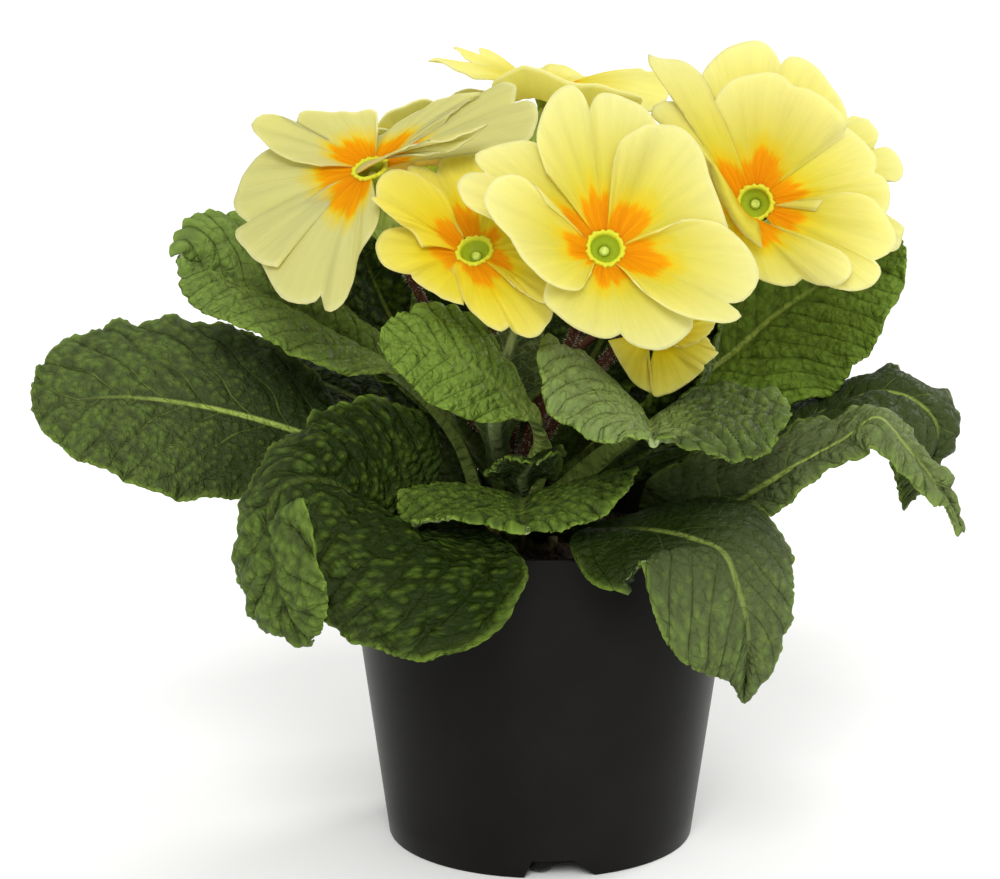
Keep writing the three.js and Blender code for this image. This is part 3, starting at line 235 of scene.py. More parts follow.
        "face": [[0, -0.2, 1], [0, -0.2, 1], [0.2, 0, 1]], "half": 18, "widest": 0.64, "petiole": 0.1,
        "wave": 1.2, "tone": -0.25,
    },
    {
        "seat": [91, 2], "spine": [[-10, 15, 98], [-15, 24, 112], [-18, 31, 124], [-20, 38, 132]],
        "face": [[0, -0.7, 0.7], [0.1, -0.8, 0.5], [0.1, -0.7, 0.7]], "half": 15, "petiole": 0.15,
        "left": [12, 0], "right": [12, 0], "tone": -0.35, "rib": 0.2, "pucker": 0.4,
    },
    {
        "seat": [48, 2], "spine": [[6, 15, 96], [13, 24, 108], [18, 32, 116], [22, 41, 121]],
        "face": [[-0.1, -0.7, 0.7], [-0.1, -0.8, 0.5], [-0.1, -0.7, 0.7]], "half": 15, "petiole": 0.15,
        "left": [12, 0], "right": [12, 0], "tone": -0.35, "rib": 0.2, "pucker": 0.4,
    },
]

# Blooms: eye is the middle of the throat, facing the way it looks, spot its place on the crown's top ring
# in degrees and bend the points that the stalk passes. The rim of a lobe runs clockwise through its points,
# each [right, up, out] from the eye; notch is the place of the notch's point among them, bulge how far the
# lobe arches out between throat and rim where that isn't 1 mm, claw the half angle of its foot where that
# differs from LOBE. Plain lobes are [direction, length, half angle, lift, notch]. From 0 to 1: vivid is the
# strength of the yellow and dull how much darker and greyer the yellow is painted, as painted shade on a
# bloom that gets less light. star is the reach of the orange where that differs from STAR.
BLOOMS = [
    {
        "eye": [-37, -15, 154], "facing": [-0.25, -0.45, 0.85], "spot": 200, "bend": [[-19, 1, 108]],
        "dull": 1,
        "lobes": [
            {"notch": 6, "rim": [
                [-10.5, -2.5, 2], [-18.5, -2, 3], [-26.5, 1, 5], [-32, 5.5, 6], [-29.5, 7.5, 7],
                [-24, 7, 7], [-20.5, 6, 6.5], [-20, 8, 8], [-14, 8.5, 9], [-6.5, 8.5, 9], [0, 8.5, 9],
                [1, 5.5, 6],
            ]},
            {"notch": 5, "rim": [
                [-8.5, -30, -3], [-13, -29.5, -3], [-19, -26, -3], [-23.5, -22, -3], [-24.5, -18, -3],
                [-23.5, -16.5, -2.5], [-27, -15, -2], [-30, -11.5, -2], [-31, -6, -1.5], [-31, 1.5, -1],
                [-28, 5.5, -0.5], [-21.5, 5, 0],
            ]},
            {"notch": 6, "bulge": 2, "rim": [
                [7.5, -11, -2], [8, -15, -4], [6.5, -20, -6], [8, -29, -8], [7.5, -34.5, -9],
                [5.5, -36, -9], [1.5, -31.5, -8], [0.5, -33.5, -9], [-3, -35, -9], [-6, -35, -8],
                [-13, -29, -6], [-16, -25.5, -5], [-15.5, -17.5, -3], [-11.5, -11.5, -1.5],
            ]},
            {"notch": 4, "rim": [
                [11, -0.5, 6], [16, 1, 8], [21.5, 1.5, 9], [25.5, 4, 9], [28.5, 7, 9], [26, 5, 7],
                [22.5, 2.5, 6], [17.5, 1.5, 5], [12.5, 0.5, 4],
            ]},
            {"notch": 5, "rim": [
                [11, 18, 1], [13.5, 21.5, 2], [17, 27, 3], [20, 28.5, 3], [23.5, 28, 3], [24.5, 24, 2],
                [27.5, 25.5, 2], [31, 22.5, 2], [32.5, 17.5, 1], [32.5, 12.5, 0], [23, 8.5, -1],
            ]},
            {"notch": 5, "rim": [
                [-2.5, 9.5, 2], [0.5, 12, 3], [6.5, 17, 4], [11, 20.5, 5], [15.5, 22, 6], [17.5, 23, 6],
                [15, 19.5, 4], [13, 16, 3], [10, 11.5, 1.5],
            ]},
        ],
    },
    {
        "eye": [-14, -35.5, 139.3], "facing": [-0.15, -0.66, 0.74], "spot": 240,
        "bend": [[-16, -6, 98], [-20, -11, 109]], "star": 0.5, "vivid": 0.7,
        "lobes": [
            {"notch": 4, "bulge": 2, "rim": [
                [-11, -1, 2], [-13.5, 2, 4], [-18, 4, 6], [-23, 8, 7], [-22, 8.5, 7], [-22.5, 11.5, 7],
                [-21.5, 15, 7], [-19, 17, 6.5], [-15, 16, 6], [-10.5, 13.5, 5], [-7, 10, 3.5],
                [-6.5, 6.5, 2],
            ]},
            {"notch": 4, "rim": [
                [-1, -11.5, -3], [-3.5, -11, -3], [-8.5, -9, -3], [-12.5, -6.5, -2], [-13.5, -4.5, -1.5],
                [-16, -4.5, -1.5], [-19.5, -3.5, -1], [-22, 1, -1], [-21, 4.5, -0.5], [-17, 5.5, 0],
                [-12.5, 5, 0],
            ]},
            {"notch": 5, "bulge": 2, "rim": [
                [17, -11.5, -2], [18.5, -12.5, -3], [18, -15, -4], [16, -18, -4.5], [13, -18.5, -4],
                [9.5, -16, -3.5], [8, -17.5, -4], [6, -17, -4], [2, -14.5, -3], [-0.5, -11.5, -2],
                [-2.5, -8, -1], [-4.5, -5, 0],
            ]},
            {"notch": 2, "rim": [
                [10.5, 1.5, 2], [16, -4.5, 2], [19.5, -9, 1], [18.5, -13, 0], [14, -11.5, 0.5],
                [9, -8.5, 0.5],
            ]},
            {"notch": 2, "rim": [[1, 16.5, 0], [4.5, 15, 0], [8.5, 11, 0], [10.5, 7, 0], [11, 2, 0]]},
            {"notch": 3, "rim": [
                [-13, 16, 1], [-18.5, 21, 1], [-15.5, 22, 1], [-12.5, 21, 1], [-12, 24.5, 0.5],
                [-9, 26.5, 0], [-5.5, 25.5, 0], [-2, 22, 0], [1, 17.5, 0],
            ]},
        ],
    },
    {
        "eye": [13, -50, 142.2], "facing": [0.1, -0.87, 0.48], "spot": 280,
        "bend": [[2, -10, 104], [8, -18, 122]],
        "lobes": [
            {"notch": 5, "rim": [
                [-11.5, 16.5, 1], [-13, 24.5, 1.5], [-9, 34, 1], [-5, 36, 0.5], [-3, 34, 0.5],
                [-1.5, 31, 0], [0.5, 34, 0.5], [4.5, 34, 0.5], [11, 30, 0], [14, 21.5, 0],
            ]},
            {"notch": 3, "rim": [
                [2, 15.5, 3], [4, 22, 3], [9.5, 26, 2.5], [13, 27, 2], [17, 26, 2], [20.5, 22, 2],
                [22.5, 14, 2], [25.5, 3.5, 2.5],
            ]},
            {"notch": 6, "rim": [
                [10.5, 2, 4], [16.5, 4.5, 4], [23.5, 4, 2.5], [30, -1.5, 1], [31.5, -7, 0], [28, -11.5, 0],
                [24.5, -12, 0.5], [27, -15.5, 1], [24.5, -17, 1.5], [16.5, -16.5, 3], [9.5, -13, 4],
                [5, -8.5, 4],
            ]},
            {"notch": 5, "bulge": 2, "rim": [
                [15.5, -11.5, -1], [17.5, -16, -2], [15, -19, -2.5], [10, -21, -3], [4.5, -19.5, -3],
                [2.5, -17.5, -2.5], [0, -18.5, -3], [-5, -17, -3], [-10, -13.5, -2], [-13, -10.5, -1.5],
                [-12, -6, -1],
            ]},
            {"notch": 4, "rim": [
                [-3.5, -6, 2], [-6.5, -10, 3.5], [-12.5, -9, 5], [-17.5, -4.5, 5.5], [-20, 1, 5],
                [-23.5, 5, 6], [-25, 9, 6], [-22.5, 13.5, 6], [-18, 14, 5.5], [-14.5, 12, 5], [-12, 8, 4],
            ]},
            {"notch": 5, "rim": [
                [-19, 6, -1], [-23.5, 8, -2], [-28, 11, -3], [-29.5, 16, -3.5], [-27, 18.5, -3.5],
                [-23.5, 18.5, -3], [-25.5, 22.5, -4], [-22.5, 24, -4], [-17.5, 25, -3.5], [-12.5, 24.5, -3],
                [-7.5, 20, -2],
            ]},
        ],
    },
    {
        "eye": [45.4, -24, 148.2], "facing": [-0.1, -0.95, 0.3], "spot": 0,
        "bend": [[12, -3, 108], [35, -3, 131]], "vivid": 0.1,
        "lobes": [
            {"notch": 7, "bulge": 6, "claw": 84, "rim": [
                [2, -10.5, 5], [-2.5, -7.5, 8], [-7.5, 1, 9], [-11.5, 10.5, 7], [-18, 15, 3], [-23, 19, 0],
                [-21, 21.5, 0], [-18, 21.5, 1], [-19.5, 24.5, 0], [-23.5, 30, -1], [-24, 32.5, -2],
                [-21.5, 31.5, -2], [-16.5, 31, -2], [-12.5, 28, -2], [-9, 22, -1],
            ]},
            {"notch": 6, "rim": [
                [-13, 25.5, -4], [-12, 30, -6], [-8.5, 34, -7], [-4.5, 36, -7], [0, 36.5, -7], [3, 34, -6],
                [4.5, 31.5, -6], [6, 33, -6], [8.5, 33, -6], [12, 31, -6], [15, 27, -5], [18, 22.5, -4],
                [19.5, 18, -3],
            ]},
            {"notch": 6, "rim": [
                [-7, 11.5, 1], [-9.5, 17, 1.5], [-9, 21.5, 1.5], [-6, 26, 1], [-0.5, 28, 0], [4.5, 28, 0],
                [7.5, 25.5, 0], [11, 24.5, 0], [15, 22, 0], [18.5, 18.5, 0], [18.5, 14.5, 0],
            ]},
            {"notch": 4, "rim": [
                [16.5, 18.5, -1], [20, 16, -1], [23.5, 13, -1], [25.5, 9.5, -1], [25, 7, -0.5],
                [27.5, 5.5, -1], [28.5, 2.5, -1], [28, -1, -1], [25.5, -4.5, -1],
            ]},
            {"notch": 7, "rim": [
                [13, -2, 2], [14.5, 0.5, 3], [19, 2, 3.5], [24.5, 1, 3], [28.5, -4, 2], [30, -7.5, 1],
                [28.5, -10.5, 1], [25.5, -12, 1], [27, -14, 0], [25.5, -17, 0], [21.5, -18.5, 0],
                [17, -18, 0], [13, -16.5, 0],
            ]},
            {"notch": 6, "bulge": 2, "rim": [
                [12, -9, 3], [16, -9.5, 3], [19.5, -11.5, 3], [21, -14.5, 2.5], [18.5, -17.5, 2],
                [14, -17.5, 1.5], [10.5, -16, 1], [8.5, -17.5, 0], [5.5, -17.5, 0], [1, -16, -1],
                [-3.5, -12.5, -1], [-8, -10, -2], [-12.5, -5, -3], [-14.5, 2, -3], [-13.5, 7, -2],
                [-9, 6, -1],
            ]},
        ],
    },
    {
        "eye": [1, 25, 168], "facing": [0, 0.3, 0.95], "spot": 120, "bend": [[-3, 8, 112], [0, 15, 136]],
        "vivid": 0.5, "star": 0.3,
        "lobes": [
            {"notch": 4, "rim": [
                [10.5, 7, -0.5], [15, 10.5, 0], [18.5, 12.5, 0.5], [22.5, 13, 2], [26.5, 11.5, 4],
                [23.5, 7, 5], [20, 4.5, 5], [16, 2.5, 4.5], [13.5, 0, 3.5],
            ]},
            {"notch": 3, "rim": [
                [15.5, -3.5, 6], [18.5, -6, 8], [21.5, -8, 10.5], [15, -8.5, 9], [15.5, -14, 12.5],
                [12, -14.5, 10], [9.5, -13.5, 7.5], [5.5, -10, 5.5],
            ]},
            {"notch": 5, "bulge": -5, "rim": [
                [-14, 10, -6], [-18, 13, -7], [-21, 17, -7.5], [-20, 22, -7], [-10, 27.5, -4.5],
                [-4.5, 27, -3.5], [-1, 28, -3], [3, 26, -1.5], [8, 21, -1], [12, 15.5, -2], [11.5, 9, -2.5],
            ]},
            {"notch": 4, "rim": [
                [-12.5, -12.5, 4.5], [-15.5, -10, 4], [-18, -8, 5], [-21.5, -5.5, 5.5], [-23.5, -2, 3.5],
                [-25.5, 2, 2.5], [-27.5, 8.5, -2.5], [-23.5, 13, -8], [-15.5, 15.5, -7.5],
            ]},
            {"notch": 4, "rim": [
                [5, -17.5, 7], [3.5, -21.5, 8.5], [0.5, -27, 10.5], [-3.5, -29, 11], [-7, -28, 10],
                [-10, -26, 8], [-12.5, -18, 5.5],
            ]},
        ],
    },
    {
        "eye": [57, 3, 150.5], "facing": [0.35, -0.7, 0.62], "spot": 40,
        "bend": [[14, 3, 108], [42, 10, 128]],
        "lobes": [
            {"notch": 4, "rim": [
                [16, 13, 0], [19.5, 15, 0], [22.5, 14, 0], [24, 10, 0], [22, 6.5, 0], [23, 6.5, -1],
                [26.5, 6.5, -1], [28.5, 4, -1], [28, 0.5, -1], [26, -2, -1], [23, -2.5, -1], [19, 0, -1],
            ]},
            {"notch": 3, "rim": [
                [16.5, -7, -1], [20, -11, -2], [23, -14, -2], [22.5, -16, -2], [19.5, -19, -2],
                [14, -19, -2], [8.5, -14, -1],
            ]},
        ],
        "plain_lobes": [[-64, 22, 36, 8, 0.12], [4, 21, 36, 10, 0.12], [-136, 13, 36, -6, 0.12]],
    },
    {
        "eye": [25, -32, 122], "facing": [0.1, -0.94, 0.2], "spot": 320,
        "bend": [[5, -3, 108], [15, -6, 128]], "vivid": 1, "star": 0.3,
        "lobes": [
            {"notch": 2, "rim": [
                [-4, -6, 1], [-2.5, -10, 1], [-2, -13.3, 1], [-4.5, -12, 0.5], [-6, -10.5, 0],
                [-8, -7.5, 0], [-9.5, -5, 0], [-11, -2, 0],
            ]},
            {"notch": 3, "rim": [
                [6, -5.5, -1], [8.5, -7, -1], [9.5, -8, -1], [8.5, -9.5, -1], [6, -11.3, -1], [3, -13, -1],
                [1, -13.6, -1], [-1.3, -14, -0.5], [-3, -9.5, 0],
            ]},
            {"notch": 2, "rim": [
                [9.5, -0.5, -2], [11, -2.5, -2], [13, -5, -2], [11, -6.5, -1.5], [9, -7.5, -1.5],
                [6, -5.5, -1],
            ]},
            {"notch": 2, "rim": [
                [9.5, 3.5, 0], [12, 1.5, 0], [10.5, -1, 0.5], [8, -2.5, 1], [5.5, -3.5, 1], [3, -3.5, 1],
            ]},
        ],
        "plain_lobes": [[-50, 14, 36, 10, 0.1], [20, 14, 34, 14, 0.1]],
    },
    {
        "eye": [-28, 40, 146], "facing": [-0.35, 0.55, 0.76], "spot": 160, "bend": [[-8, 10, 108]],
        "plain_lobes": [
            [10, 28, 40, 8, 0.14], [82, 29, 40, 5, 0.14], [154, 29, 40, 2, 0.14], [-134, 30, 40, 2, 0.14],
            [-62, 28, 40, 6, 0.14],
        ],
    },
]

# Numbers, vectors and curves


def unit(vectors):
    return vectors / np.maximum(np.linalg.norm(vectors, axis=-1, keepdims=True), 1e-9)


def mix(a, b, share):
    return a + (b - a) * share


def smoothstep(x, low, high):
    s = np.clip((x - low) / (high - low), 0, 1)
    return s * s * (3 - 2 * s)


def around(degrees):
    return np.array([math.cos(math.radians(degrees)), math.sin(math.radians(degrees)), 0.0])


def arc(across, up, wide, tall, degrees):
    """Points of an ellipse round [across, up], at angles from the outward side upward."""
    return [[across + wide * math.cos(a), up + tall * math.sin(a)] for a in np.radians(degrees)]


def hump(x):
    """Rounded humps one unit apart, with sharp valleys between them."""
    return np.abs(np.sin(np.pi * x))


class Curve:
    """Smooth curve through points. at() takes shares of their number, and share() makes those of lengths."""

    def __init__(self, points):
        p = np.array(points, float)
        self.points = np.vstack([2 * p[0] - p[1], p, 2 * p[-1] - p[-2]])
        self.spans = len(p) - 1
        self.shares = np.linspace(0, 1, 401)
        steps = np.linalg.norm(np.diff(self.at(self.shares), axis=0), axis=1)
        self.travel = np.concatenate([[0], np.cumsum(steps)])
        self.length = self.travel[-1]

    def at(self, shares):
        place = np.clip(np.asarray(shares, float), 0, 1) * self.spans
        k = np.minimum(place.astype(int), self.spans - 1)
        w = (place - k)[..., None]
        a, b, c, d = (self.points[k + i] for i in range(4))
        before, span, after = (
            np.sqrt(np.linalg.norm(q - p, axis=-1, keepdims=True)) for p, q in ((a, b), (b, c), (c, d))
        )
        leave = ((b - a) / before - (c - a) / (before + span) + (c - b) / span) * span
        arrive = ((c - b) / span - (d - b) / (span + after) + (d - c) / after) * span
        return b + w * (leave + w * (3 * (c - b) - 2 * leave - arrive + w * (2 * (b - c) + leave + arrive)))

    def share(self, lengths):
        return np.interp(np.asarray(lengths) * self.length, self.travel, self.shares)

    def along(self, shares):
        low, high = np.clip(shares - 1e-4, 0, 1), np.clip(shares + 1e-4, 0, 1)
        return unit(self.at(high) - self.at(low))


def puckers(x, y, pitch, seed):
    """Domes about one pitch wide that meet in creases: 1 in a dome's middle, 0 in the deepest crease."""
    table = np.random.default_rng(seed).random((64, 64, 2))
    x, y = x / pitch, y / pitch
    column, row = np.floor(x).astype(int), np.floor(y).astype(int)
    nearest = np.full(np.shape(x), 9.0)
    for i in (-1, 0, 1):
        for j in (-1, 0, 1):
            jitter = table[(column + i) % 64, (row + j) % 64]
            away = np.hypot(column + i + jitter[..., 0] - x, row + j + jitter[..., 1] - y)
            nearest = np.minimum(nearest, away)
    return 1 - np.minimum(nearest / 0.9, 1) ** 2


def normals_of(grid):
    """The way the upper side looks at each point of a grid of rows from base to tip."""
    return unit(np.cross(np.gradient(grid, axis=1), np.gradient(grid, axis=0)))


def travelled(points, axis):
    """Distance covered along an axis of a grid of points, from its start."""
    steps = np.linalg.norm(np.diff(points, axis=axis), axis=-1)
    start = np.zeros_like(np.take(steps, [0], axis=axis))
    return np.concatenate([start, np.cumsum(steps, axis=axis)], axis=axis)


# Meshes


def new_piece(name, points, faces, materials, uvs=None, values=None, smooth=True):
    """An object at the origin whose mesh is given in millimetres, with maps and values given per point."""
    mesh = bpy.data.meshes.new(name)
    mesh.from_pydata((np.asarray(points) * MM).tolist(), [], [list(map(int, face)) for face in faces])
    corners = np.zeros(len(mesh.loops), int)
    mesh.loops.foreach_get("vertex_index", corners)
    for label, pairs in (uvs or {}).items():
        layer = mesh.uv_layers.new(name=label)
        layer.data.foreach_set("uv", np.asarray(pairs, np.float32)[corners].ravel())
    for label, numbers in (values or {}).items():
        attribute = mesh.attributes.new(label, "FLOAT", "POINT")
        attribute.data.foreach_set("value", np.asarray(numbers, np.float32))
    for material in materials:
        mesh.materials.append(material)
    mesh.polygons.foreach_set("use_smooth", [smooth] * len(mesh.polygons))
    mesh.update()
    piece = bpy.data.objects.new(name, mesh)
    bpy.context.scene.collection.objects.link(piece)
    return piece


def finish_piece(piece, slot, *nodes):
    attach(piece, "root")
    if nodes:
        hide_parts(*nodes)


def slab(grid, above, below):
    """Points and faces of the closed body that reaches so far above and below a grid of points."""
    rows, columns = grid.shape[:2]
    normals = normals_of(grid)
    index = np.arange(rows * columns).reshape(rows, columns)
    a, b, c, d = (part.ravel() for part in (index[:-1, :-1], index[:-1, 1:], index[1:, 1:], index[1:, :-1]))
    under = rows * columns
    rim = np.concatenate([index[0], index[1:, -1], index[-1, -2::-1], index[-2:0:-1, 0]])
    after = np.roll(rim, -1)
    faces = [
        np.stack([a, b, c, d], 1), np.stack([a, d, c, b], 1) + under,
        np.stack([after, rim, rim + under, after + under], 1),
    ]
    shells = [(grid + normals * above).reshape(-1, 3), (grid - normals * below).reshape(-1, 3)]
    return np.concatenate(shells), np.concatenate(faces)


def revolve(profile, sides, shape=None):
    """Points, faces and angles of [radius, height] points turned about +Z. shape may move each point."""
    points, rings, turns = [], [], []
    for k, (radius, height) in enumerate(profile):
        count = sides if radius > 1e-6 else 1
        rings.append([len(points) + i % count for i in range(sides)])
        for angle in np.arange(count) * 2 * math.pi / sides:
            r, z = shape(k, radius, height, angle) if shape and count > 1 else (radius, height)
            points.append([r * math.cos(angle), r * math.sin(angle), z])
            turns.append(angle)
    closing = rings[:1] if profile[0][0] > 1e-6 else []
    faces = []
    for low, high in zip(rings, rings[1:] + closing):
        for i in range(sides):
            j = (i + 1) % sides
            faces.append(list(dict.fromkeys([low[i], low[j], high[j], high[i]])))
    return np.array(points), faces, np.array(turns)


def modified(piece):
    """The mesh of an object with its modifiers applied, which then leave it."""
    depsgraph = bpy.context.evaluated_depsgraph_get()
    result = bpy.data.meshes.new_from_object(piece.evaluated_get(depsgraph), depsgraph=depsgraph)
    piece.modifiers.clear()
    return result


def grow(name, tree, source, inputs):
    """Runs a geometry node tree on a mesh and gives the plain mesh object that it makes."""
    carrier = bpy.data.objects.new(name, source)
    bpy.context.scene.collection.objects.link(carrier)
    modifier = carrier.modifiers.new(name, "NODES")
    modifier.node_group = tree
    for item in tree.interface.items_tree:
        if item.in_out == "INPUT" and item.name in inputs:
            modifier[item.identifier] = inputs[item.name]
    carrier.data = modified(carrier)
    return carrier


# Nodes and colours

MATH, RAMP, MIX, NOISE = "ShaderNodeMath", "ShaderNodeMapRange", "ShaderNodeMix", "ShaderNodeTexNoise"
VECTOR, RANDOM, BUMP = "ShaderNodeVectorMath", "FunctionNodeRandomValue", "ShaderNodeBump"
COLOURS = {"out": 2, "data_type": "RGBA"}


def wire(node, inputs):
    """Links a node's inputs to sockets or sets their values, by name, by number or in order."""
    for key, value in inputs.items() if isinstance(inputs, dict) else enumerate(inputs):
        if isinstance(value, bpy.types.NodeSocket):
            node.id_data.links.new(value, node.inputs[key])
        else:
            node.inputs[key].default_value = value


def add(tree, kind, inputs=(), out=0, **settings):
    """Adds a node with its settings and links, and gives the output asked for."""
    node = tree.nodes.new(kind)
    for name, value in settings.items():
        setattr(node, name, value)
    wire(node, inputs)
    return node.outputs[out]


def colour(code):
    """Linear colour of an sRGB hex value such as 2F5A1F."""
    channels = [int(code[i:i + 2], 16) / 255 for i in (0, 2, 4)]
    linear = [c / 12.92 if c <= 0.04045 else ((c + 0.055) / 1.055) ** 2.4 for c in channels]
    return (*linear, 1.0)


def new_material(name):
    material = bpy.data.materials.new(name)
    material.use_nodes = True
    tree = material.node_tree
    return material, tree, tree.nodes["Principled BSDF"]


def new_tree(name, **inputs):
    """A geometry node tree with a Geometry input, the named number inputs and a Geometry output."""
    kinds = {float: "NodeSocketFloat", int: "NodeSocketInt"}
    tree = bpy.data.node_groups.new(name, "GeometryNodeTree")
    tree.interface.new_socket("Geometry", in_out="INPUT", socket_type="NodeSocketGeometry")
    for label, value in inputs.items():
        socket = tree.interface.new_socket(label, in_out="INPUT", socket_type=kinds[type(value)])
        socket.default_value = value
    tree.interface.new_socket("Geometry", in_out="OUTPUT", socket_type="NodeSocketGeometry")
    return tree, tree.nodes.new("NodeGroupInput").outputs, tree.nodes.new("NodeGroupOutput")


def close_tree(geometry, material, output):
    tree = output.id_data
    real = add(tree, "GeometryNodeRealizeInstances", {"Geometry": geometry})
    painted = add(tree, "GeometryNodeSetMaterial", {"Geometry": real, "Material": material})
    tree.links.new(painted, output.inputs[0])
    return tree


# Materials


def moulded_polypropylene():
    """Black polypropylene, injection moulded: satin, with a faint grain and a trace of dried splashes."""
    material, tree, shader = new_material("moulded_polypropylene")
    place = add(tree, "ShaderNodeTexCoord", out="Object")
    grain = add(tree, NOISE, {"Vector": place, "Scale": 1 / (1.2 * MM), "Detail": 3.0})
    cloud = add(tree, NOISE, {"Vector": place, "Scale": 1 / (38 * MM), "Detail": 4.0})
    fade = add(tree, RAMP, (cloud, 0.35, 0.75))
    wire(shader, {
        "Base Color": add(tree, MIX, {0: fade, 6: colour("131211"), 7: colour("1B1A18")}, **COLOURS),
        "Roughness": add(tree, RAMP, (grain, 0.0, 1.0, 0.3, 0.38)),
        "Normal": add(tree, BUMP, {"Height": grain, "Strength": 0.12, "Distance": 0.05 * MM}),
        "IOR": 1.49, "Specular IOR Level": 0.06,
    })
    return material


def moist_peat():
    """Moist peat: dark brown fibres and crumbs that swallow the light."""
    material, tree, shader = new_material("moist_peat")
    place = add(tree, "ShaderNodeTexCoord", out="Object")
    crumbs = add(tree, "ShaderNodeTexVoronoi", {"Vector": place, "Scale": 1 / (1.6 * MM)}, out="Color")
    pick = add(tree, "ShaderNodeSeparateColor", {"Color": crumbs})
    fine = add(tree, NOISE, {"Vector": place, "Scale": 1 / (0.8 * MM), "Detail": 4.0})
    wire(shader, {
        "Base Color": add(tree, MIX, {0: pick, 6: colour("1E140D"), 7: colour("4A3322")}, **COLOURS),
        "Normal": add(tree, BUMP, {"Height": fine, "Strength": 0.8, "Distance": 0.6 * MM}),
        "Roughness": 0.92,
    })
    return material


def leaf_tissue():
    """Primrose leaf: a thick puckered blade, deep green with a waxy sheen above, downy grey green below.
    Crests are painted lighter and creases, wrinkles and net lines darker, as painted light and shade; the
    midrib and the feet of the side veins are pale, and the thin margin is painted lighter still, as painted
    light shining through it."""
    material, tree, shader = new_material("leaf_tissue")
    tone, sage, pucker, under, opening, crest_shading, margin, inner, rib = (
        add(tree, "ShaderNodeAttribute", out="Fac", attribute_name=label) for label in LEAF_VALUES
    )
    place, veins = (add(tree, "ShaderNodeUVMap", uv_map=label) for label in ("blade", "veins"))
    mottle = add(tree, NOISE, {"Vector": place, "Scale": 1 / 14, "Detail": 3.0})
    wander = add(tree, NOISE, {"Vector": place, "Scale": 1 / 5, "Detail": 2.0})
    speck = add(tree, NOISE, {"Vector": place, "Scale": 1 / 1.3, "Detail": 4.0, "Roughness": 0.6})
    cells = {"Vector": place, "Scale": 1 / 2.2, "Randomness": 0.9}
    net = add(tree, "ShaderNodeTexVoronoi", cells, out="Distance", feature="DISTANCE_TO_EDGE")
    wrinkles = {"Vector": place, "Scale": 1 / 1.9, "Smoothness": 0.3}
    wrinkle = add(tree, "ShaderNodeTexVoronoi", wrinkles, out="Distance", feature="SMOOTH_F1")
    rib_side, vein_step = (add(tree, "ShaderNodeSeparateXYZ", {"Vector": veins}, out=axis) for axis in "XY")
    midrib = add(tree, RAMP, (add(tree, MATH, (rib_side,), operation="ABSOLUTE"), 0.5, 1.2, 1.0, 0.0))
    swayed = add(tree, MATH, (wander, 0.05, vein_step), operation="MULTIPLY_ADD")
    side = add(tree, RAMP, (add(tree, MATH, (swayed, 0.5), operation="PINGPONG"), 0.0, 0.04, 1.0, 0.0))
    thread = add(tree, RAMP, (net, 0.01, 0.12, 1.0, 0.0))
    feet = add(tree, MATH, (side, inner), operation="MULTIPLY")
    ribbed = add(tree, MATH, (midrib, side), operation="MAXIMUM")
    # threads and creases are painted shade: dark lines along the fine net and the side veins, where shade
    # falls in the creases.
    threads_shade, creases, pale_feet, pale_rib, ladder, thin_edge_glow = (
        add(tree, MATH, (value, weight), operation="MULTIPLY") for value, weight in (
            (thread, 0.07), (side, 0.06), (feet, 0.6), (midrib, rib), (thread, 0.25), (margin, 0.55),
        )
    )

    # Above: crests painted light and creases painted dark, as painted light and shade. Below: grey green with
    # paler ribs and net
    fine = tone
    # Painted light and shade: crests are painted lighter and the creases of the wrinkles darker, following
    # the relief.
    for value, weight in ((crest_shading, 0.6), (mottle, 0.42), (speck, 0.3), (wrinkle, -0.85)):
        fine = add(tree, MATH, (value, weight, fine), operation="MULTIPLY_ADD")
    lightness = add(tree, RAMP, (fine, -0.11, 1.07))
    shaded = add(tree, RAMP, (tone, 0.1, -0.4, 0.0, 0.75))
    # sage: a grey green that is partly the leaf's down and partly painted sheen.
    above = [
        (sage, "818F5C"), (threads_shade, "1F2C0A"), (creases, "1F2C0A"), (pale_feet, "8FA44C"),
        (pale_rib, "9DB054"),
    ]
    below = [(shaded, "33431C"), (ladder, "A3B27C"), (ribbed, "A9B97C")]
    kinds = (lightness, "1B2807", "67832A", above), (mottle, "5F7340", "84955E", below)
    faces = []
    for share, dark, light, coats in kinds:
        face = add(tree, MIX, {0: share, 6: colour(dark), 7: colour(light)}, **COLOURS)
        for cover, hue in coats:
            face = add(tree, MIX, {0: cover, 6: face, 7: colour(hue)}, **COLOURS)
        faces.append(face)
    blade = add(tree, MIX, {0: under, 6: faces[0], 7: faces[1]}, **COLOURS)
    # Painted light: the thin margin is painted a lighter yellow green, for light shining through it.
    edged = add(tree, MIX, {0: thin_edge_glow, 6: blade, 7: colour("84A03C")}, **COLOURS)
    # Painted shade: the petiole's green follows the leaf's tone, so the petioles of dark leaves in shadow are
    # painted darker.
    pale_stalk = add(tree, RAMP, (tone, -0.3, 0.8))
    stalky = add(tree, MIX, {0: pale_stalk, 6: colour("2C3A14"), 7: colour("8CA04E")}, **COLOURS)

    puffed = add(tree, MATH, (wrinkle, -1.35), operation="MULTIPLY")
    strong = add(tree, MATH, (pucker, 0.8, 0.2), operation="MULTIPLY_ADD")
    height = add(tree, MATH, (puffed, strong), operation="MULTIPLY")
    for value, weight in ((speck, 0.35), (side, -0.2), (thread, -0.13)):
        height = add(tree, MATH, (value, weight, height), operation="MULTIPLY_ADD")
    flip = add(tree, RAMP, (under, 0.0, 1.0, 1.0, -1.0))
    relief = add(tree, MATH, (height, flip), operation="MULTIPLY")
    wire(shader, {
        "Base Color": add(tree, MIX, {0: opening, 6: stalky, 7: edged}, **COLOURS),
        "Roughness": add(tree, RAMP, (under, 0.0, 1.0, 0.36, 0.7)),
        "Normal": add(tree, BUMP, {"Height": relief, "Strength": 1.0, "Distance": 1.4 * MM}),
        "IOR": 1.43, "Specular IOR Level": 0.06, "Subsurface Weight": 0.06,
        "Subsurface Radius": (0.4, 1.0, 0.15), "Subsurface Scale": 0.8 * MM,
    })
    return material


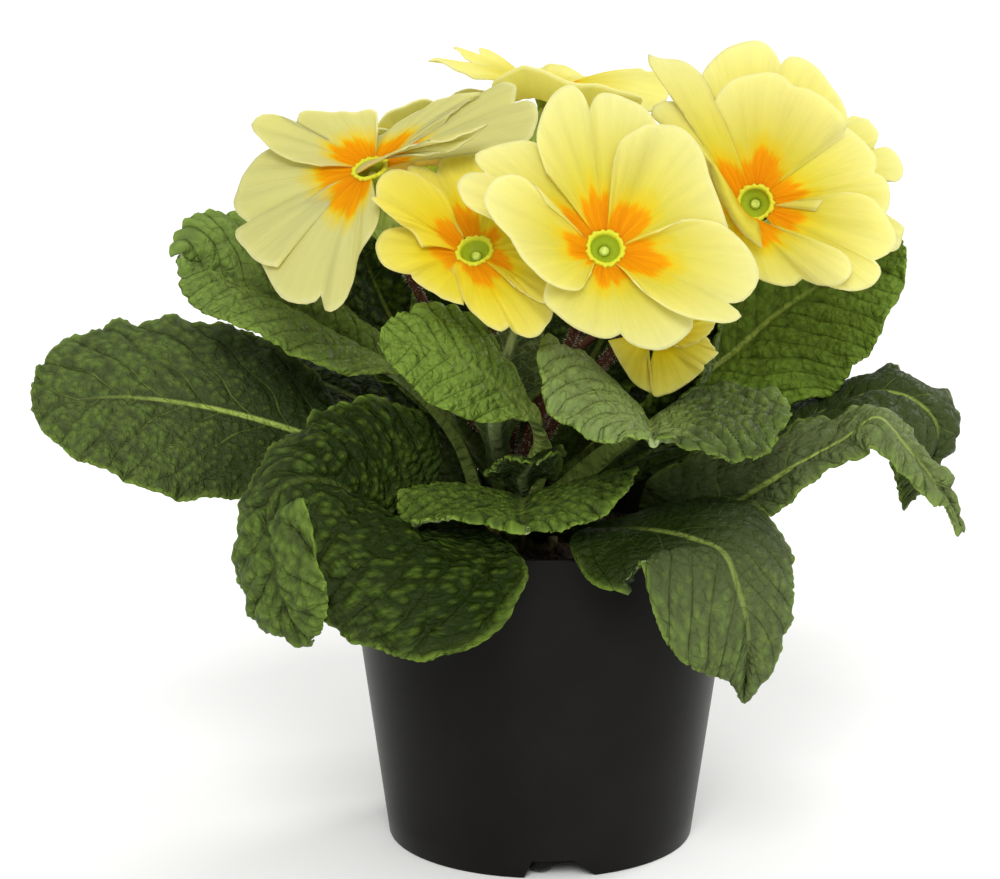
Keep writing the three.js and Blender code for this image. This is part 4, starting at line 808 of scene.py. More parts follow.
def petal_tissue():
    """Primrose petal: thin velvety tissue that glows where light comes through, pale yellow with an orange
    star round the throat and fine radial furrows."""
    material, tree, shader = new_material("petal_tissue")
    under, vivid, turn, rim, dull = (
        add(tree, "ShaderNodeAttribute", out="Fac", attribute_name=label) for label in PETAL_VALUES
    )
    place = add(tree, "ShaderNodeUVMap", uv_map="petal")
    across, reach = (add(tree, "ShaderNodeSeparateXYZ", {"Vector": place}, out=axis) for axis in "XY")
    lane = add(tree, "ShaderNodeCombineXYZ", (across, reach, turn))
    wide = add(tree, VECTOR, (lane, (2.6, 0.35, 9.0)), operation="MULTIPLY")
    narrow = add(tree, VECTOR, (lane, (9.0, 0.5, 9.0)), operation="MULTIPLY")
    ray = add(tree, NOISE, {"Vector": wide, "Scale": 1.0, "Detail": 3.0})
    furrow = add(tree, NOISE, {"Vector": narrow, "Scale": 1.0, "Detail": 4.0, "Roughness": 0.6})

    # How far inside the star's jagged edge a point lies, and the colours that follow from it
    bow = add(tree, MATH, (across, across), operation="MULTIPLY")
    dip = add(tree, MATH, (bow, -0.38, 0.92), operation="MULTIPLY_ADD")
    jag = add(tree, MATH, (ray, 1.0, -0.5), operation="MULTIPLY_ADD")
    fine_jag = add(tree, MATH, (furrow, 0.4, -0.2), operation="MULTIPLY_ADD")
    rough_edge = add(tree, MATH, (dip, jag), operation="ADD")
    edge = add(tree, MATH, (rough_edge, fine_jag), operation="ADD")
    inside = add(tree, MATH, (edge, reach), operation="SUBTRACT")
    star = add(tree, RAMP, (inside, -0.02, 0.12))
    halo = add(tree, RAMP, (inside, -0.3, 0.05))
    heart = add(tree, RAMP, (inside, 0.1, 0.8, 1.0, 0.0))
    outward = add(tree, RAMP, (reach, 1.1, 2.45))
    streak = add(tree, RAMP, (furrow, 0.3, 0.7, 0.93, 1.02))
    deep = add(tree, RAMP, (furrow, 0.35, 0.62))
    tipped = add(tree, MATH, (heart, 0.6), operation="MULTIPLY")
    # Paler within about a millimetre of the rim.
    rim_paling = add(tree, MATH, (rim, 0.6), operation="MULTIPLY")
    yellow, strong, veined = (
        add(tree, MIX, {0: share, 6: colour(near), 7: colour(far)}, **COLOURS)
        for share, near, far in (
            (outward, "E8DE58", "F6F4B2"), (outward, "F4E02A", "FBF270"), (deep, "E67602", "FFA706"),
        )
    )
    bright = add(tree, MIX, {0: vivid, 6: yellow, 7: strong}, **COLOURS)
    # Painted shade: a dull bloom's yellow is painted darker and greyer for the less light that reaches it.
    body = add(tree, MIX, {0: dull, 6: bright, 7: colour("DEDB92")}, **COLOURS)
    lined = add(tree, MIX, {0: 1.0, 6: body, 7: streak}, blend_type="MULTIPLY", **COLOURS)
    ringed = add(tree, MIX, {0: halo, 6: lined, 7: colour("F2D41C")}, **COLOURS)
    orange = add(tree, MIX, {0: tipped, 6: veined, 7: colour("FFB40A")}, **COLOURS)
    upper = add(tree, MIX, {0: star, 6: ringed, 7: orange}, **COLOURS)
    # The underside is paler: partly its own colour and partly painted light that makes up for the little
    # light reaching it.
    pale = add(tree, MIX, {0: 0.35, 6: lined, 7: colour("F4EC80")}, **COLOURS)
    sides = add(tree, MIX, {0: under, 6: upper, 7: pale}, **COLOURS)
    base = add(tree, MIX, {0: rim_paling, 6: sides, 7: colour("FBF8C4")}, **COLOURS)
    bump = add(tree, BUMP, {"Height": furrow, "Strength": 0.7, "Distance": 0.5 * MM})
    wire(shader, {
        "Base Color": base, "Normal": bump, "Roughness": 0.6, "IOR": 1.4, "Specular IOR Level": 0.08,
        "Subsurface Weight": 0.25, "Subsurface Radius": (1.0, 0.85, 0.3), "Subsurface Scale": 2 * MM,
    })
    through = add(tree, "ShaderNodeBsdfTranslucent", {"Color": base, "Normal": bump})
    thin = add(tree, "ShaderNodeMixShader", (0.45, shader.outputs["BSDF"], through))
    tree.links.new(thin, tree.nodes["Material Output"].inputs["Surface"])
    return material


def throat_tissue():
    """The eye of the bloom: a yellow green rim, and a funnel that darkens to deep green."""
    material, tree, shader = new_material("throat_tissue")
    place = add(tree, "ShaderNodeUVMap", uv_map="depth")
    depth = add(tree, "ShaderNodeSeparateXYZ", {"Vector": place}, out="Y")
    fleck = add(tree, NOISE, {"Vector": place, "Scale": 3.0, "Detail": 3.0})
    down, lip = add(tree, RAMP, (depth, -2.6, 0.1)), add(tree, RAMP, (depth, -0.1, 0.3))
    inner = add(tree, MIX, {0: down, 6: colour("7A8E10"), 7: colour("A4B224")}, **COLOURS)
    wire(shader, {
        "Base Color": add(tree, MIX, {0: lip, 6: inner, 7: colour("C6C82E")}, **COLOURS),
        "Normal": add(tree, BUMP, {"Height": fleck, "Strength": 0.3, "Distance": 0.15 * MM}),
        "Roughness": 0.5, "Specular IOR Level": 0.12, "Subsurface Weight": 0.2, "Subsurface Scale": 1 * MM,
    })
    return material


def soft_tissue(name, dark, light, grain, rough):
    """Young plant tissue: two greens or browns in fine lengthways streaks, under a dull skin."""
    material, tree, shader = new_material(name)
    place = add(tree, "ShaderNodeTexCoord", out="Object")
    fibre = add(tree, VECTOR, (place, (1.0, 1.0, 0.25)), operation="MULTIPLY")
    streak = add(tree, NOISE, {"Vector": fibre, "Scale": 1 / (grain * MM), "Detail": 4.0})
    share = add(tree, RAMP, (streak, 0.35, 0.65))
    wire(shader, {
        "Base Color": add(tree, MIX, {0: share, 6: colour(dark), 7: colour(light)}, **COLOURS),
        "Normal": add(tree, BUMP, {"Height": streak, "Strength": 0.2, "Distance": 0.2 * MM}),
        "Roughness": rough, "Specular IOR Level": 0.2, "Subsurface Weight": 0.1, "Subsurface Scale": 1 * MM,
    })
    return material


LEAF_VALUES = ("tone", "sage", "pucker", "under", "opening", "crest_shading", "margin", "inner", "rib")
PETAL_VALUES = ("under", "vivid", "turn", "rim", "dull")
PLASTIC = moulded_polypropylene()
PEAT = moist_peat()
LEAF = leaf_tissue()
PETAL = petal_tissue()
EYE = throat_tissue()
SEPAL = soft_tissue("sepal_tissue", "7C9433", "B4C565", 1.6, 0.6)
# The stalks' dark reddish browns are partly their own colour and partly painted shade, for the stalks stand
# deep in the plant's shade.
STEM = soft_tissue("stem_skin_and_shade", "3A1B12", "54301E", 1.2, 0.55)
STIGMA = soft_tissue("stigma_tissue", "A8BE3C", "CBD76A", 0.7, 0.5)
ROOTSTOCK = soft_tissue("rootstock_bark", "3A2A18", "7C7440", 1.5, 0.85)
DOWN = soft_tissue("plant_down", "D9DEC2", "F0F2E2", 1.0, 0.7)


# Pot, soil and crown


def pot_profile():
    keys = ("rim", "foot", "height", "lift", "pad", "wall")
    rim, foot, height, lift, pad, wall = (POT[key] for key in keys)
    slope = (rim - foot) / height
    floor, inner = lift + POT["plate"], foot - POT["ring"]
    hollow = foot + floor * slope - wall
    return [
        [0, 0], [pad - 0.4, 0], [pad, 0.3], [pad + 1.2, lift], [inner - 0.6, lift], [inner - 0.1, 0.3],
        [inner + 0.3, 0], [foot - 0.5, 0], [foot - 0.1, 0.15],
        *([foot + slope * z, z] for z in np.linspace(0.5, height - 1, 14)),
        *arc(rim - 0.6, height - 0.55, 0.55, 0.55, [0, 30, 60, 90, 120, 150]),
        [rim - wall, height - 0.8], [hollow, floor + 1], [hollow - 1, floor], [0, floor],
    ]


def cut_or_join(body, others, operation):
    for other in others:
        modifier = body.modifiers.new("cut", "BOOLEAN")
        modifier.operation = operation
        modifier.solver = "EXACT"
        modifier.object = other
    body.data = modified(body)
    for other in others:
        bpy.data.objects.remove(other)


def pot():
    points, faces, _ = revolve(pot_profile(), 144)
    shell = new_piece("pot_shell", points, faces, [PLASTIC])
    lift, radius, drain = POT["lift"], POT["nub_radius"], POT["drain_radius"]
    (left, left_top), (right, right_top) = POT["notch_left"], POT["notch_right"]
    ends = (-lift, left_top - 2 * left, 2 * right - right_top), (lift, -left_top, right_top)
    box = [[0, 1, 3, 2], [4, 6, 7, 5], [0, 2, 6, 4], [1, 5, 7, 3], [2, 3, 7, 6], [0, 4, 5, 1]]
    rise = lift + 0.5 * POT["plate"] - POT["nub_clear"]
    dome = arc(0, 0.6 * radius, radius, 0.6 * radius, [-90, -65, -40, -15, 0])
    nub, nub_faces, _ = revolve([*dome, [radius, rise], [0, rise]], 24)
    hole, hole_faces, _ = revolve([[0, -5], [drain, -5], [drain, 15], [0, 15]], 32)
    cuts, feet = [], []
    for i in range(POT["notches"]):
        angle = POT["first_notch"] + 360 * i / POT["notches"]
        corners = [
            around(angle) * reach + around(angle + 90) * distance + np.array([0, 0, height])
            for height, *aside in ends for reach in (POT["foot"] - POT["ring"] - 3, POT["foot"] + 3)
            for distance in aside
        ]
        cuts.append(new_piece("notch", corners, box, [PLASTIC], smooth=False))
        centre = around(angle + POT["nub_aside"]) * POT["nub_circle"] + np.array([0, 0, POT["nub_clear"]])
        feet.append(new_piece("nub", nub + centre, nub_faces, [PLASTIC]))
    for i in range(POT["drains"]):
        centre = around(360 * i / POT["drains"]) * POT["drain_circle"]
        cuts.append(new_piece("drain", hole + centre, hole_faces, [PLASTIC]))
    cut_or_join(shell, cuts, "DIFFERENCE")
    cut_or_join(shell, feet, "UNION")
    shell.data.shade_smooth()
    shell.data.set_sharp_from_angle(angle=math.radians(35))
    finish_piece(shell, "pot_plastic", "pot")


def soil():
    slope = (POT["rim"] - POT["foot"]) / POT["height"]
    edge, mound = SOIL["edge"], SOIL["mound"]
    low, shoulder, brim = (
        [POT["foot"] + z * slope - POT["wall"] - SOIL["gap"], z]
        for z in (POT["lift"] + POT["plate"] + 0.3, edge - 1, edge)
    )
    rings = np.linspace(brim[0] - 0.2, 1.5, 34)
    dome = [[r, edge + (mound - edge) * (1 - r / rings[0]) ** 0.7] for r in rings]
    side = [[0, low[1]], low, shoulder]

    def clods(k, radius, height, angle):
        if k < len(side):
            return radius, height
        x, y = radius * math.cos(angle), radius * math.sin(angle)
        large = 0.5 * math.sin(0.9 * x + 1.3 * y) * math.sin(1.1 * y - 0.6 * x)
        small = 0.35 * math.sin(2.3 * x) * math.cos(2.7 * y)
        return radius, height + (large + small) * min(1, (rings[0] - radius) / 4)

    points, faces, _ = revolve([*side, *dome, [0, mound]], 120, clods)
    finish_piece(new_piece("peat_fill", points, faces, [PEAT]), "soil", "soil")
    seen = [face for face in faces if min(points[i][2] for i in face) > edge - 0.9]
    top = new_piece("peat_top", points, seen, [PEAT])
    crumbs = grow("peat_crumbs", crumb_tree(), top.data, {"Density": 3.2e5, "Size": 1.1 * MM, "Seed": 4})
    bpy.data.objects.remove(top)
    finish_piece(crumbs, "soil")


def crumb_tree():
    """Crumbs of peat scattered over a surface, each a small lump at its own turn and size."""
    tree, given, output = new_tree("peat_crumbs", Density=3e5, Size=0.001, Seed=1)
    scatter = {"Mesh": given["Geometry"], "Density": given["Density"], "Seed": given["Seed"]}
    points = add(tree, "GeometryNodeDistributePointsOnFaces", scatter)
    lump = add(tree, "GeometryNodeMeshIcoSphere", {"Radius": 0.5, "Subdivisions": 1})
    limits = ((0.0, 0.0, 0.0), (6.3, 6.3, 6.3), 2), ((0.3, 0.3, 0.25), (1.5, 1.2, 0.9), 3)
    spin, spread = (
        add(tree, RANDOM, {0: low, 1: high, "Seed": seed}, data_type="FLOAT_VECTOR")
        for low, high, seed in limits
    )
    size = add(tree, VECTOR, {0: spread, "Scale": given["Size"]}, operation="SCALE")
    placed = {"Points": points, "Instance": lump, "Rotation": spin, "Scale": size}
    return close_tree(add(tree, "GeometryNodeInstanceOnPoints", placed), PEAT, output)


def crown():
    foot, top = CROWN["foot"], CROWN["top"]
    profile = [[0, foot]]
    for z in np.linspace(foot, top, 16):
        narrowing = smoothstep((z - foot) / (top - foot), 0.35, 0.95)
        profile.append([mix(CROWN["radius"], CROWN["neck"], narrowing) - 0.3, z])

    def gnarled(k, radius, height, angle):
        knobs = 0.35 * math.sin(7 * angle + height) + 0.2 * math.sin(13 * angle - 2 * height)
        return radius + knobs, height

    points, faces, _ = revolve([*profile, [0, top]], 48, gnarled)
    stock = new_piece("crown_stock", points + np.array([CROWN["x"], CROWN["y"], 0]), faces, [ROOTSTOCK])
    finish_piece(stock, "crown", "crown")


# Leaves


def seat_of(leaf):
    direction, tier = leaf["seat"]
    distance, height = TIERS[tier]
    return around(direction) * distance + np.array([CROWN["x"], CROWN["y"], height])


def plain_blade(leaf, cell):
    """Rows of a blade bent about its spine, a function for how far a row has opened out, and one for the
    points at rows and places across."""
    spine = Curve([seat_of(leaf), *leaf["spine"]])
    faces = unit(np.array(leaf["face"], float))
    petiole, widest, half = leaf["petiole"], leaf["widest"], leaf["half"]

    def opening(t):
        return smoothstep(t, petiole * 0.6, widest * 0.8)

    def spot(t, v):
        share = spine.share(t)
        along = spine.along(share)
        s = t[:, None]
        face = np.where(s < 0.5, mix(faces[0], faces[1], 2 * s), mix(faces[1], faces[2], 2 * s - 1))
        face = unit(face - along * np.sum(face * along, axis=1, keepdims=True))
        side = np.cross(along, face)
        # A narrow winged stalk, a slow widening, then a round tip
        widening = np.clip((t - petiole) / (widest - petiole), 0, 1)
        closing = np.clip((t - widest) / (1 - widest), 0, 1)
        opened = mix(BLADE["petiole"] / half, 1, np.sin(math.pi / 2 * widening) ** 1.6)
        width = (half * (opened * np.sqrt(1 - closing ** 2)))[:, None]
        halves = np.radians(np.where(v[:, None] < 0, leaf["left"], leaf["right"]))
        lift, curl = (halves[None, :, k] * opening(t)[:, None] for k in (0, 1))
        curl = np.where(np.abs(curl) < 1e-3, 1e-3, curl)
        end = lift + curl * np.abs(v)
        across = width / curl * (np.sin(end) - np.sin(lift)) * np.sign(v)
        up = width / curl * (np.cos(lift) - np.cos(end))
        return spine.at(share)[:, None] + side[:, None] * across[..., None] + face[:, None] * up[..., None]

    body = int(spine.length * widest / cell)
    cap = int(1.1 * math.hypot(half, spine.length * (1 - widest)) / cell)
    tip = mix(widest, 1, np.sin(np.linspace(0, math.radians(87), cap)))
    return np.concatenate([np.linspace(0, widest, body, endpoint=False), tip]), opening, spot


def folded_blade(leaf, cell):
    """As plain_blade, for a blade stretched over its ribs."""
    ribs = np.array(leaf["ribs"], float)
    petiole = np.array([seat_of(leaf), *leaf["stalk"]], float)
    tip = np.array(leaf["tip"], float)
    middle = np.array([*petiole, *ribs[:, 1], tip])

    def edge(end, sign):
        points = []
        for i, point in enumerate(petiole):
            along = unit(middle[i + 1] - middle[max(i - 1, 0)])
            side = ribs[0][2] - ribs[0][0]
            points.append(point + unit(side - along * (side @ along)) * sign * BLADE["petiole"])
        return [*points, *ribs[:, end]]

    spine = Curve(middle)
    outline = Curve([*edge(0, -1), tip, *edge(2, 1)[::-1]])
    start = (len(petiole) - 1) / (len(middle) - 1)

    def lines(t):
        return spine.at(t), outline.at(t / 2), outline.at(1 - t / 2)

    def opening(t):
        return smoothstep(t, start, start + 0.25)

    def spot(t, v):
        centre, left, right = lines(t)
        face = unit(np.cross(right - left, spine.along(t)))
        reach = np.abs(v)
        arch = np.where(v < 0, *leaf["bulge"]) * 4 * reach * (1 - reach) * opening(t)[:, None]
        edge_of = np.where(v[None, :, None] < 0, left[:, None], right[:, None])
        return mix(centre[:, None], edge_of, reach[None, :, None]) + face[:, None] * arch[..., None]

    steps = []
    for k in range(len(middle) - 1):
        t = np.linspace(k, k + 1, 9) / (len(middle) - 1)
        longest = max(np.linalg.norm(np.diff(line, axis=0), axis=1).sum() for line in lines(t))
        steps.append(np.linspace(t[0], t[-1], max(2, int(longest / cell)), endpoint=False))
    return np.append(np.concatenate(steps)[:-1], 0.997), opening, spot


def grown_leaf(number, leaf):
    cell = 1 if number <= 14 else CELL["hidden"]
    rows, opening, spot = (folded_blade if "ribs" in leaf else plain_blade)(leaf, CELL["along"] * cell)
    rough = spot(rows[::6], np.array([-1.0, 0.0, 1.0]))
    half = np.linalg.norm(rough[:, 2] - rough[:, 0], axis=1).max() / 2
    count = int(max(half, 8) / (CELL["across"] * cell))
    line = np.linspace(-1, 1, 2 * count + 1)
    v = np.sign(line) * np.abs(line) ** 1.15
    reach = np.abs(v)[None, :]
    grid = spot(rows, v)
    open_here = opening(rows)[:, None]
    t = rows[:, None]

    along = travelled(grid[:, [count]], 0)
    across = travelled(grid, 1)
    across = across - across[:, [count]]
    edges = [travelled(grid[:, [k]], 0) for k in (0, -1)]
    edge_run = np.where(v[None, :] < 0, edges[0], edges[1] + 40) + 17 * number
    inset = np.where(v[None, :] < 0, across - across[:, [0]], across[:, [-1]] - across)
    spacing = np.clip(along[-1, 0] / leaf["veins"], SIDE_VEINS["least"], SIDE_VEINS["most"])
    swept = along - leaf["sweep"] * np.abs(across) - SIDE_VEINS["bend"] * across ** 2
    vein = swept / spacing + np.where(v < 0, 0.4, 0)[None, :] + 0.07 * np.sin(0.35 * along + number)
    vein = vein + 0.06 * np.sin(0.7 * across + 2 * number)

    # The margin: uneven lobes, rounded scallops between the side veins, and small teeth on them
    drift = edge_run + 2.5 * np.sin(edge_run / 6.3)
    lobes = MARGIN["lobe"] * (hump(drift / MARGIN["lobe_pitch"]) ** 0.6 - 0.7)
    scallop = MARGIN["scallop"] * (hump(vein) ** 0.8 - 0.5)
    tooth = MARGIN["tooth"] * (hump(drift / MARGIN["pitch"]) - 0.5)
    size, ruffle = min(1.0, half / MARGIN["full"]), leaf["ruffle"]
    reach_out = size * (min(1.0, ruffle) * lobes + scallop + tooth) * smoothstep(reach, 0.7, 1) * open_here
    reach_out = reach_out * (1 - 0.9 * smoothstep(t, 0.93, 1))
    normals = normals_of(grid)
    for k, sign in ((0, -1), (-1, 1)):
        outward = sign * unit(np.cross(np.gradient(grid[:, k], axis=0), normals[:, k]))
        grid = grid + outward[:, None] * (reach_out * (v * sign > 0)[None, :])[..., None]

    # Waves and crimps of the margin, panels that swell between the side veins, and puckers on them
    ripple = reach ** 2 * leaf["wave"] * np.sin(9 * t + 2.4 * number + 1.5 * np.sign(v)[None, :])
    first, second = (edge_run * 2 * np.pi / pitch for pitch in MARGIN["frill_pitch"])
    frill = np.sin(first) + 0.5 * np.sin(second + number)
    crimp = MARGIN["crimp"] * np.sin(2 * np.pi * drift / MARGIN["pitch"]) * np.exp(-inset / 3.5)
    frill = ruffle * MARGIN["frill"] * frill * smoothstep(reach, 0.4, 1) ** 2
    frill = size * (frill + min(1.0, ruffle) * crimp)
    panel, minor = hump(vein) ** 1.1, hump(2 * vein) ** 0.8
    dome = puckers(vein * spacing, across / QUILT["stretch"], QUILT["pitch"], number)
    clear = smoothstep(np.abs(across), 0.4, 3.5)
    relief = QUILT["panel"] * (panel * clear - 0.5) + QUILT["minor"] * (minor - 0.5) * clear
    relief = relief * leaf["relief"] + QUILT["pucker"] * leaf["pucker"] * (dome - 0.5) * clear
    channel = 0.9 * reach ** 2 * (1 - open_here)
    grid = grid + normals_of(grid) * ((ripple + frill + relief) * open_here + channel)[..., None]

    keel = mix(BLADE["rib"], BLADE["tip_rib"], t) * np.exp(-(across / mix(1.7, 0.7, t)) ** 2)
    points, faces = slab(grid, BLADE["thickness"] / 2, (BLADE["thickness"] / 2 + keel)[..., None])
    # How high each point stands in the relief; the material paints it lighter on crests and darker in
    # creases, as painted light and shade.
    crest_shading = 0.25 * panel + 0.15 * minor + 0.4 * mix(0.5, dome, min(1, 1.4 * leaf["pucker"])) * clear
    # Painted light: the end of the blade is painted lighter and greyer where more light falls on it.
    end = leaf["tip_light"] * smoothstep(t, 0.4, 0.75)
    # Painted light and shade: each half of the blade is painted lighter, and greyer, by its share of sides; a
    # share below zero paints that half into shade.
    uneven = np.where(v < 0, *leaf["sides"]) * smoothstep(reach, 0.05, 0.4)

    def both(above, below=None):
        """Values of all points of the upper face and then of the lower one."""
        sides = above, above if below is None else below
        return np.concatenate([(side * np.ones_like(across)).ravel() for side in sides])

    values = {
        "tone": leaf["tone"] + end + uneven, "sage": leaf["sage"] + 0.3 * end + 0.6 * uneven,
        "pucker": leaf["pucker"], "opening": open_here, "crest_shading": mix(1, crest_shading, open_here),
        "margin": np.exp(-inset / 0.6) * open_here,
        "inner": (1 - smoothstep(reach, 0.2, 0.85)) * (1 - 0.4 * t) * leaf["rib"],
        "rib": leaf["rib"] * (1 - smoothstep(t, 0.55, 0.97)),
    }
    blade = new_piece(
        f"leaf_{number:02d}_blade", points, faces, [LEAF],
        uvs={
            "blade": np.stack([both(across), both(along)], 1),
            "veins": np.stack([both(across / mix(1.3, 0.35, t)), both(vein)], 1),
        },
        values={"under": both(0, 1), **{label: both(value) for label, value in values.items()}},
    )
    finish_piece(blade, "leaf", f"leaf_{number:02d}")


# Blooms: each part is made about the eye, [right, up, out], and place holds the eye and those three axes


def placed(eye, facing):
    """Axes of a bloom as rows: right and up as seen from in front, and out along the way it faces."""
    out = unit(np.array(facing, float))
    up = unit(np.array([0, 0, 1.0]) - out * out[2])
    return np.array(eye, float), np.array([np.cross(up, out), up, out])


def turned(name, place, profile, sides, shape, material, slot, node, mapped=False):
    """A part of a bloom turned about its axis, if wanted with its angle and depth as a map."""
    points, faces, turns = revolve(profile, sides, shape)
    maps = {"depth": np.stack([turns * 3, points[:, 2]], 1)} if mapped else {}
    eye, axes = place
    finish_piece(new_piece(name, points @ axes + eye, faces, [material], uvs=maps), slot, node)


def plain_lobe(direction, length, half_angle, lift, notch):
    """The rim of a lobe of the usual form: a wedge with rounded shoulders and a notched tip."""
    rim = []
    turns = (-1, -1, -0.75, -0.3, 0, 0.3, 0.75, 1, 1)
    shares = (0.6, 0.8, 0.97, 1, 1 - notch, 1, 0.97, 0.8, 0.6)
    for turn, share in zip(turns, shares):
        angle, reach = math.radians(direction + turn * half_angle), length * share
        rim.append([math.sin(angle) * reach, math.cos(angle) * reach, reach * math.tan(math.radians(lift))])
    return {"notch": 4, "rim": rim}


def lobe_grid(lobe, seed):
    """The middle surface of a lobe in the bloom's axes, and each point's place across and along it."""
    left, right = Curve(lobe["rim"][:lobe["notch"] + 1]), Curve(lobe["rim"][lobe["notch"]:])
    half = LOBE["columns"]
    v = np.linspace(-1, 1, 2 * half + 1)
    rim = np.concatenate([left.at(left.share(1 + v[:half])), right.at(right.share(v[half:]))])
    start, end = (math.atan2(point[0], point[1]) for point in (rim[0], rim[-1]))
    end += 2 * math.pi * (end < start)
    claw = min((end - start) / 2, math.radians(lobe.get("claw", LOBE["claw"])))
    angle = (start + end) / 2 + v * claw
    root = np.stack([np.sin(angle), np.cos(angle), 0 * v], 1) * LOBE["root"]
    u = np.linspace(0, 1, LOBE["rows"])[:, None]
    grid = mix(root[None], rim[None], u[..., None])
    free = smoothstep(u, 0.1, 0.8)
    arch = lobe.get("bulge", 1) * 4 * u * (1 - u) * (1 - 0.4 * v ** 2)
    groove = -0.7 * np.exp(-(v / 0.12) ** 2) * free
    furrows = (0.17 * np.sin(v * 19 + seed) + 0.1 * np.sin(v * 31 + 2 * seed + 2 * u)) * free
    waves = 0.55 * np.sin(v * 6 + 1.7 * seed) * smoothstep(u, 0.4, 1)
    grid[..., 2] += arch + groove + furrows + waves
    return grid, v + 0 * u, u + 0 * v


def corolla(name, lobes, place, bloom, node):
    points, faces, maps, values = [], [], [], []
    for k, lobe in enumerate(lobes):
        grid, v, u = lobe_grid(lobe, k + 3 * len(name))
        radius = np.linalg.norm(grid, axis=2)
        lobe_points, lobe_faces = slab(grid, LOBE["thickness"] / 2, LOBE["thickness"] / 2)
        faces.append(lobe_faces + 2 * v.size * k)
        points.append(lobe_points)
        star = bloom.get("star", STAR) * mix(np.clip(radius.max(), 20, 34), radius[-1], 0.5)
        maps.append(np.tile(np.stack([v.ravel(), (radius / star).ravel()], 1), (2, 1)))
        one = np.ones(2 * v.size)
        values.append([
            np.repeat([0.0, 1.0], v.size), one * bloom.get("vivid", 0), one * (k + len(lobes)),
            np.tile(np.exp(-(1 - u) * radius[-1] / 0.7).ravel(), 2), one * bloom.get("dull", 0),
        ])
    eye, axes = place
    piece = new_piece(
        name, np.concatenate(points) @ axes + eye, np.concatenate(faces), [PETAL],
        uvs={"petal": np.concatenate(maps)}, values=dict(zip(PETAL_VALUES, np.concatenate(values, axis=1))),
    )
    finish_piece(piece, "petal", node)


def throat(name, place, node):
    mouth, rim, bore, tube = THROAT["mouth"], THROAT["rim"], THROAT["bore"], THROAT["tube"]
    length, funnel, half = THROAT["length"], THROAT["funnel"], (THROAT["rim"] - THROAT["mouth"]) / 2
    lip = arc(mouth + half, 0.35, half, 0.5, [-40, 0, 40, 80, 120, 160])
    profile = [
        [bore, -length], [tube, -length], [tube, -funnel - 1], [rim - 0.9, -1.2], *lip, [mouth - 0.1, -0.4],
        [mouth - 0.5, -1], [mouth - 1.1, -1.4], [mouth - 1.95, -1.6], [bore, -funnel],
    ]

    def jagged(k, radius, height, angle):
        if 4 <= k <= 9:
            notch = 0.1 * math.cos(15 * angle) + 0.1 * math.cos(5 * angle + 1) + 0.08 * math.cos(23 * angle)
            radius += notch * (radius - mouth + 0.4) / (rim - mouth)
            height += 0.08 * math.cos(15 * angle)
        return radius, height

    turned(name, place, profile, 96, jagged, EYE, "petal", node, mapped=True)


def calyx(name, place, node):
    """A ribbed tube of five sepals joined to their pointed tips."""
    inner, outer, top, base, floor = (CALYX[key] for key in ("inner", "outer", "top", "base", "floor"))
    outside = [[outer * 0.55, -base], [outer * 0.85, -base + 1], [outer, -base + 2.5]]
    outside += [[outer, z] for z in np.linspace(-base + 4, -top, 9)]
    inside = [[inner + 0.15, z] for z in np.linspace(-top, -floor + 1, 7)]
    inside += [[inner * 0.9, -floor], [0, -floor]]
    profile = [[0, -base], *outside, [(inner + outer) / 2, -top + 0.25], *inside]
    last = len(outside)

    def ribbed(k, radius, height, angle):
        if 0 < k <= last:
            peak = math.cos(5 * angle) + 0.25 * math.cos(15 * angle)
            radius = radius * (1 + CALYX["rib"] * peak / outer)
        if last - 4 <= k <= last + 4:
            share = 1 - abs(k - last - 1) / 5
            pointed = 1 - abs(math.degrees(angle) % 72 - 36) / 18
            height = height - CALYX["teeth"] * 0.5 * pointed * share
        return radius, height

    turned(name, place, profile, 60, ribbed, SEPAL, "calyx", node)


def pistil(name, place, node):
    globe, top, style, length = (PISTIL[key] for key in ("globe", "top", "style", "length"))
    ball = arc(0, -top - globe, globe, globe, [-62, -50, -35, -18, 0, 18, 40, 60])
    crease = [[globe * 0.5, -top - 0.22], [globe * 0.4, -top - 0.36], [globe * 0.2, -top - 0.3]]
    foot = [[0, -length], [style, -length], [style, -top - 2 * globe]]
    turned(name, place, [*foot, *ball, *crease, [0, -top - 0.3]], 24, None, STIGMA, "pistil", node)


def stalk_tree():
    """A round stem along a path, a little thicker at both ends."""
    tree, given, output = new_tree("stem", Radius=0.001, Swelling=0.2)
    path = add(tree, "GeometryNodeMeshToCurve", {"Mesh": given["Geometry"]})
    factor = add(tree, "GeometryNodeSplineParameter", out="Factor")
    centred = add(tree, MATH, (factor, 2.0, -1.0), operation="MULTIPLY_ADD")
    ends = add(tree, MATH, (centred, 4.0), operation="POWER")
    swollen = add(tree, MATH, (ends, given["Swelling"], 0.85), operation="MULTIPLY_ADD")
    size = add(tree, MATH, (swollen, given["Radius"]), operation="MULTIPLY")
    ring = add(tree, "GeometryNodeCurvePrimitiveCircle", {"Resolution": 14, "Radius": 1.0})
    swept = {"Curve": path, "Profile Curve": ring, "Scale": size, "Fill Caps": True}
    tube = add(tree, "GeometryNodeCurveToMesh", swept)
    smooth = add(tree, "GeometryNodeSetShadeSmooth", {"Geometry": tube, "Shade Smooth": True})
    return close_tree(smooth, STEM, output)


def stalk(name, bloom, place, node, tree):
    eye, axes = place
    start = around(bloom["spot"]) * STALK["ring"] + np.array([CROWN["x"], CROWN["y"], CROWN["top"] + 0.3])
    end = eye - axes[2] * (CALYX["base"] + 0.3)
    path = Curve([start, start + np.array([0, 0, 4]), *bloom["bend"], end - axes[2] * 6, end])
    points = path.at(path.share(np.linspace(0, 1, 60)))
    line = bpy.data.meshes.new(name)
    line.from_pydata((points * MM).tolist(), [(i, i + 1) for i in range(len(points) - 1)], [])
    piece = grow(name, tree, line, {"Radius": STALK["radius"] * MM, "Swelling": 0.15})
    finish_piece(piece, "stalk", node)
    return piece


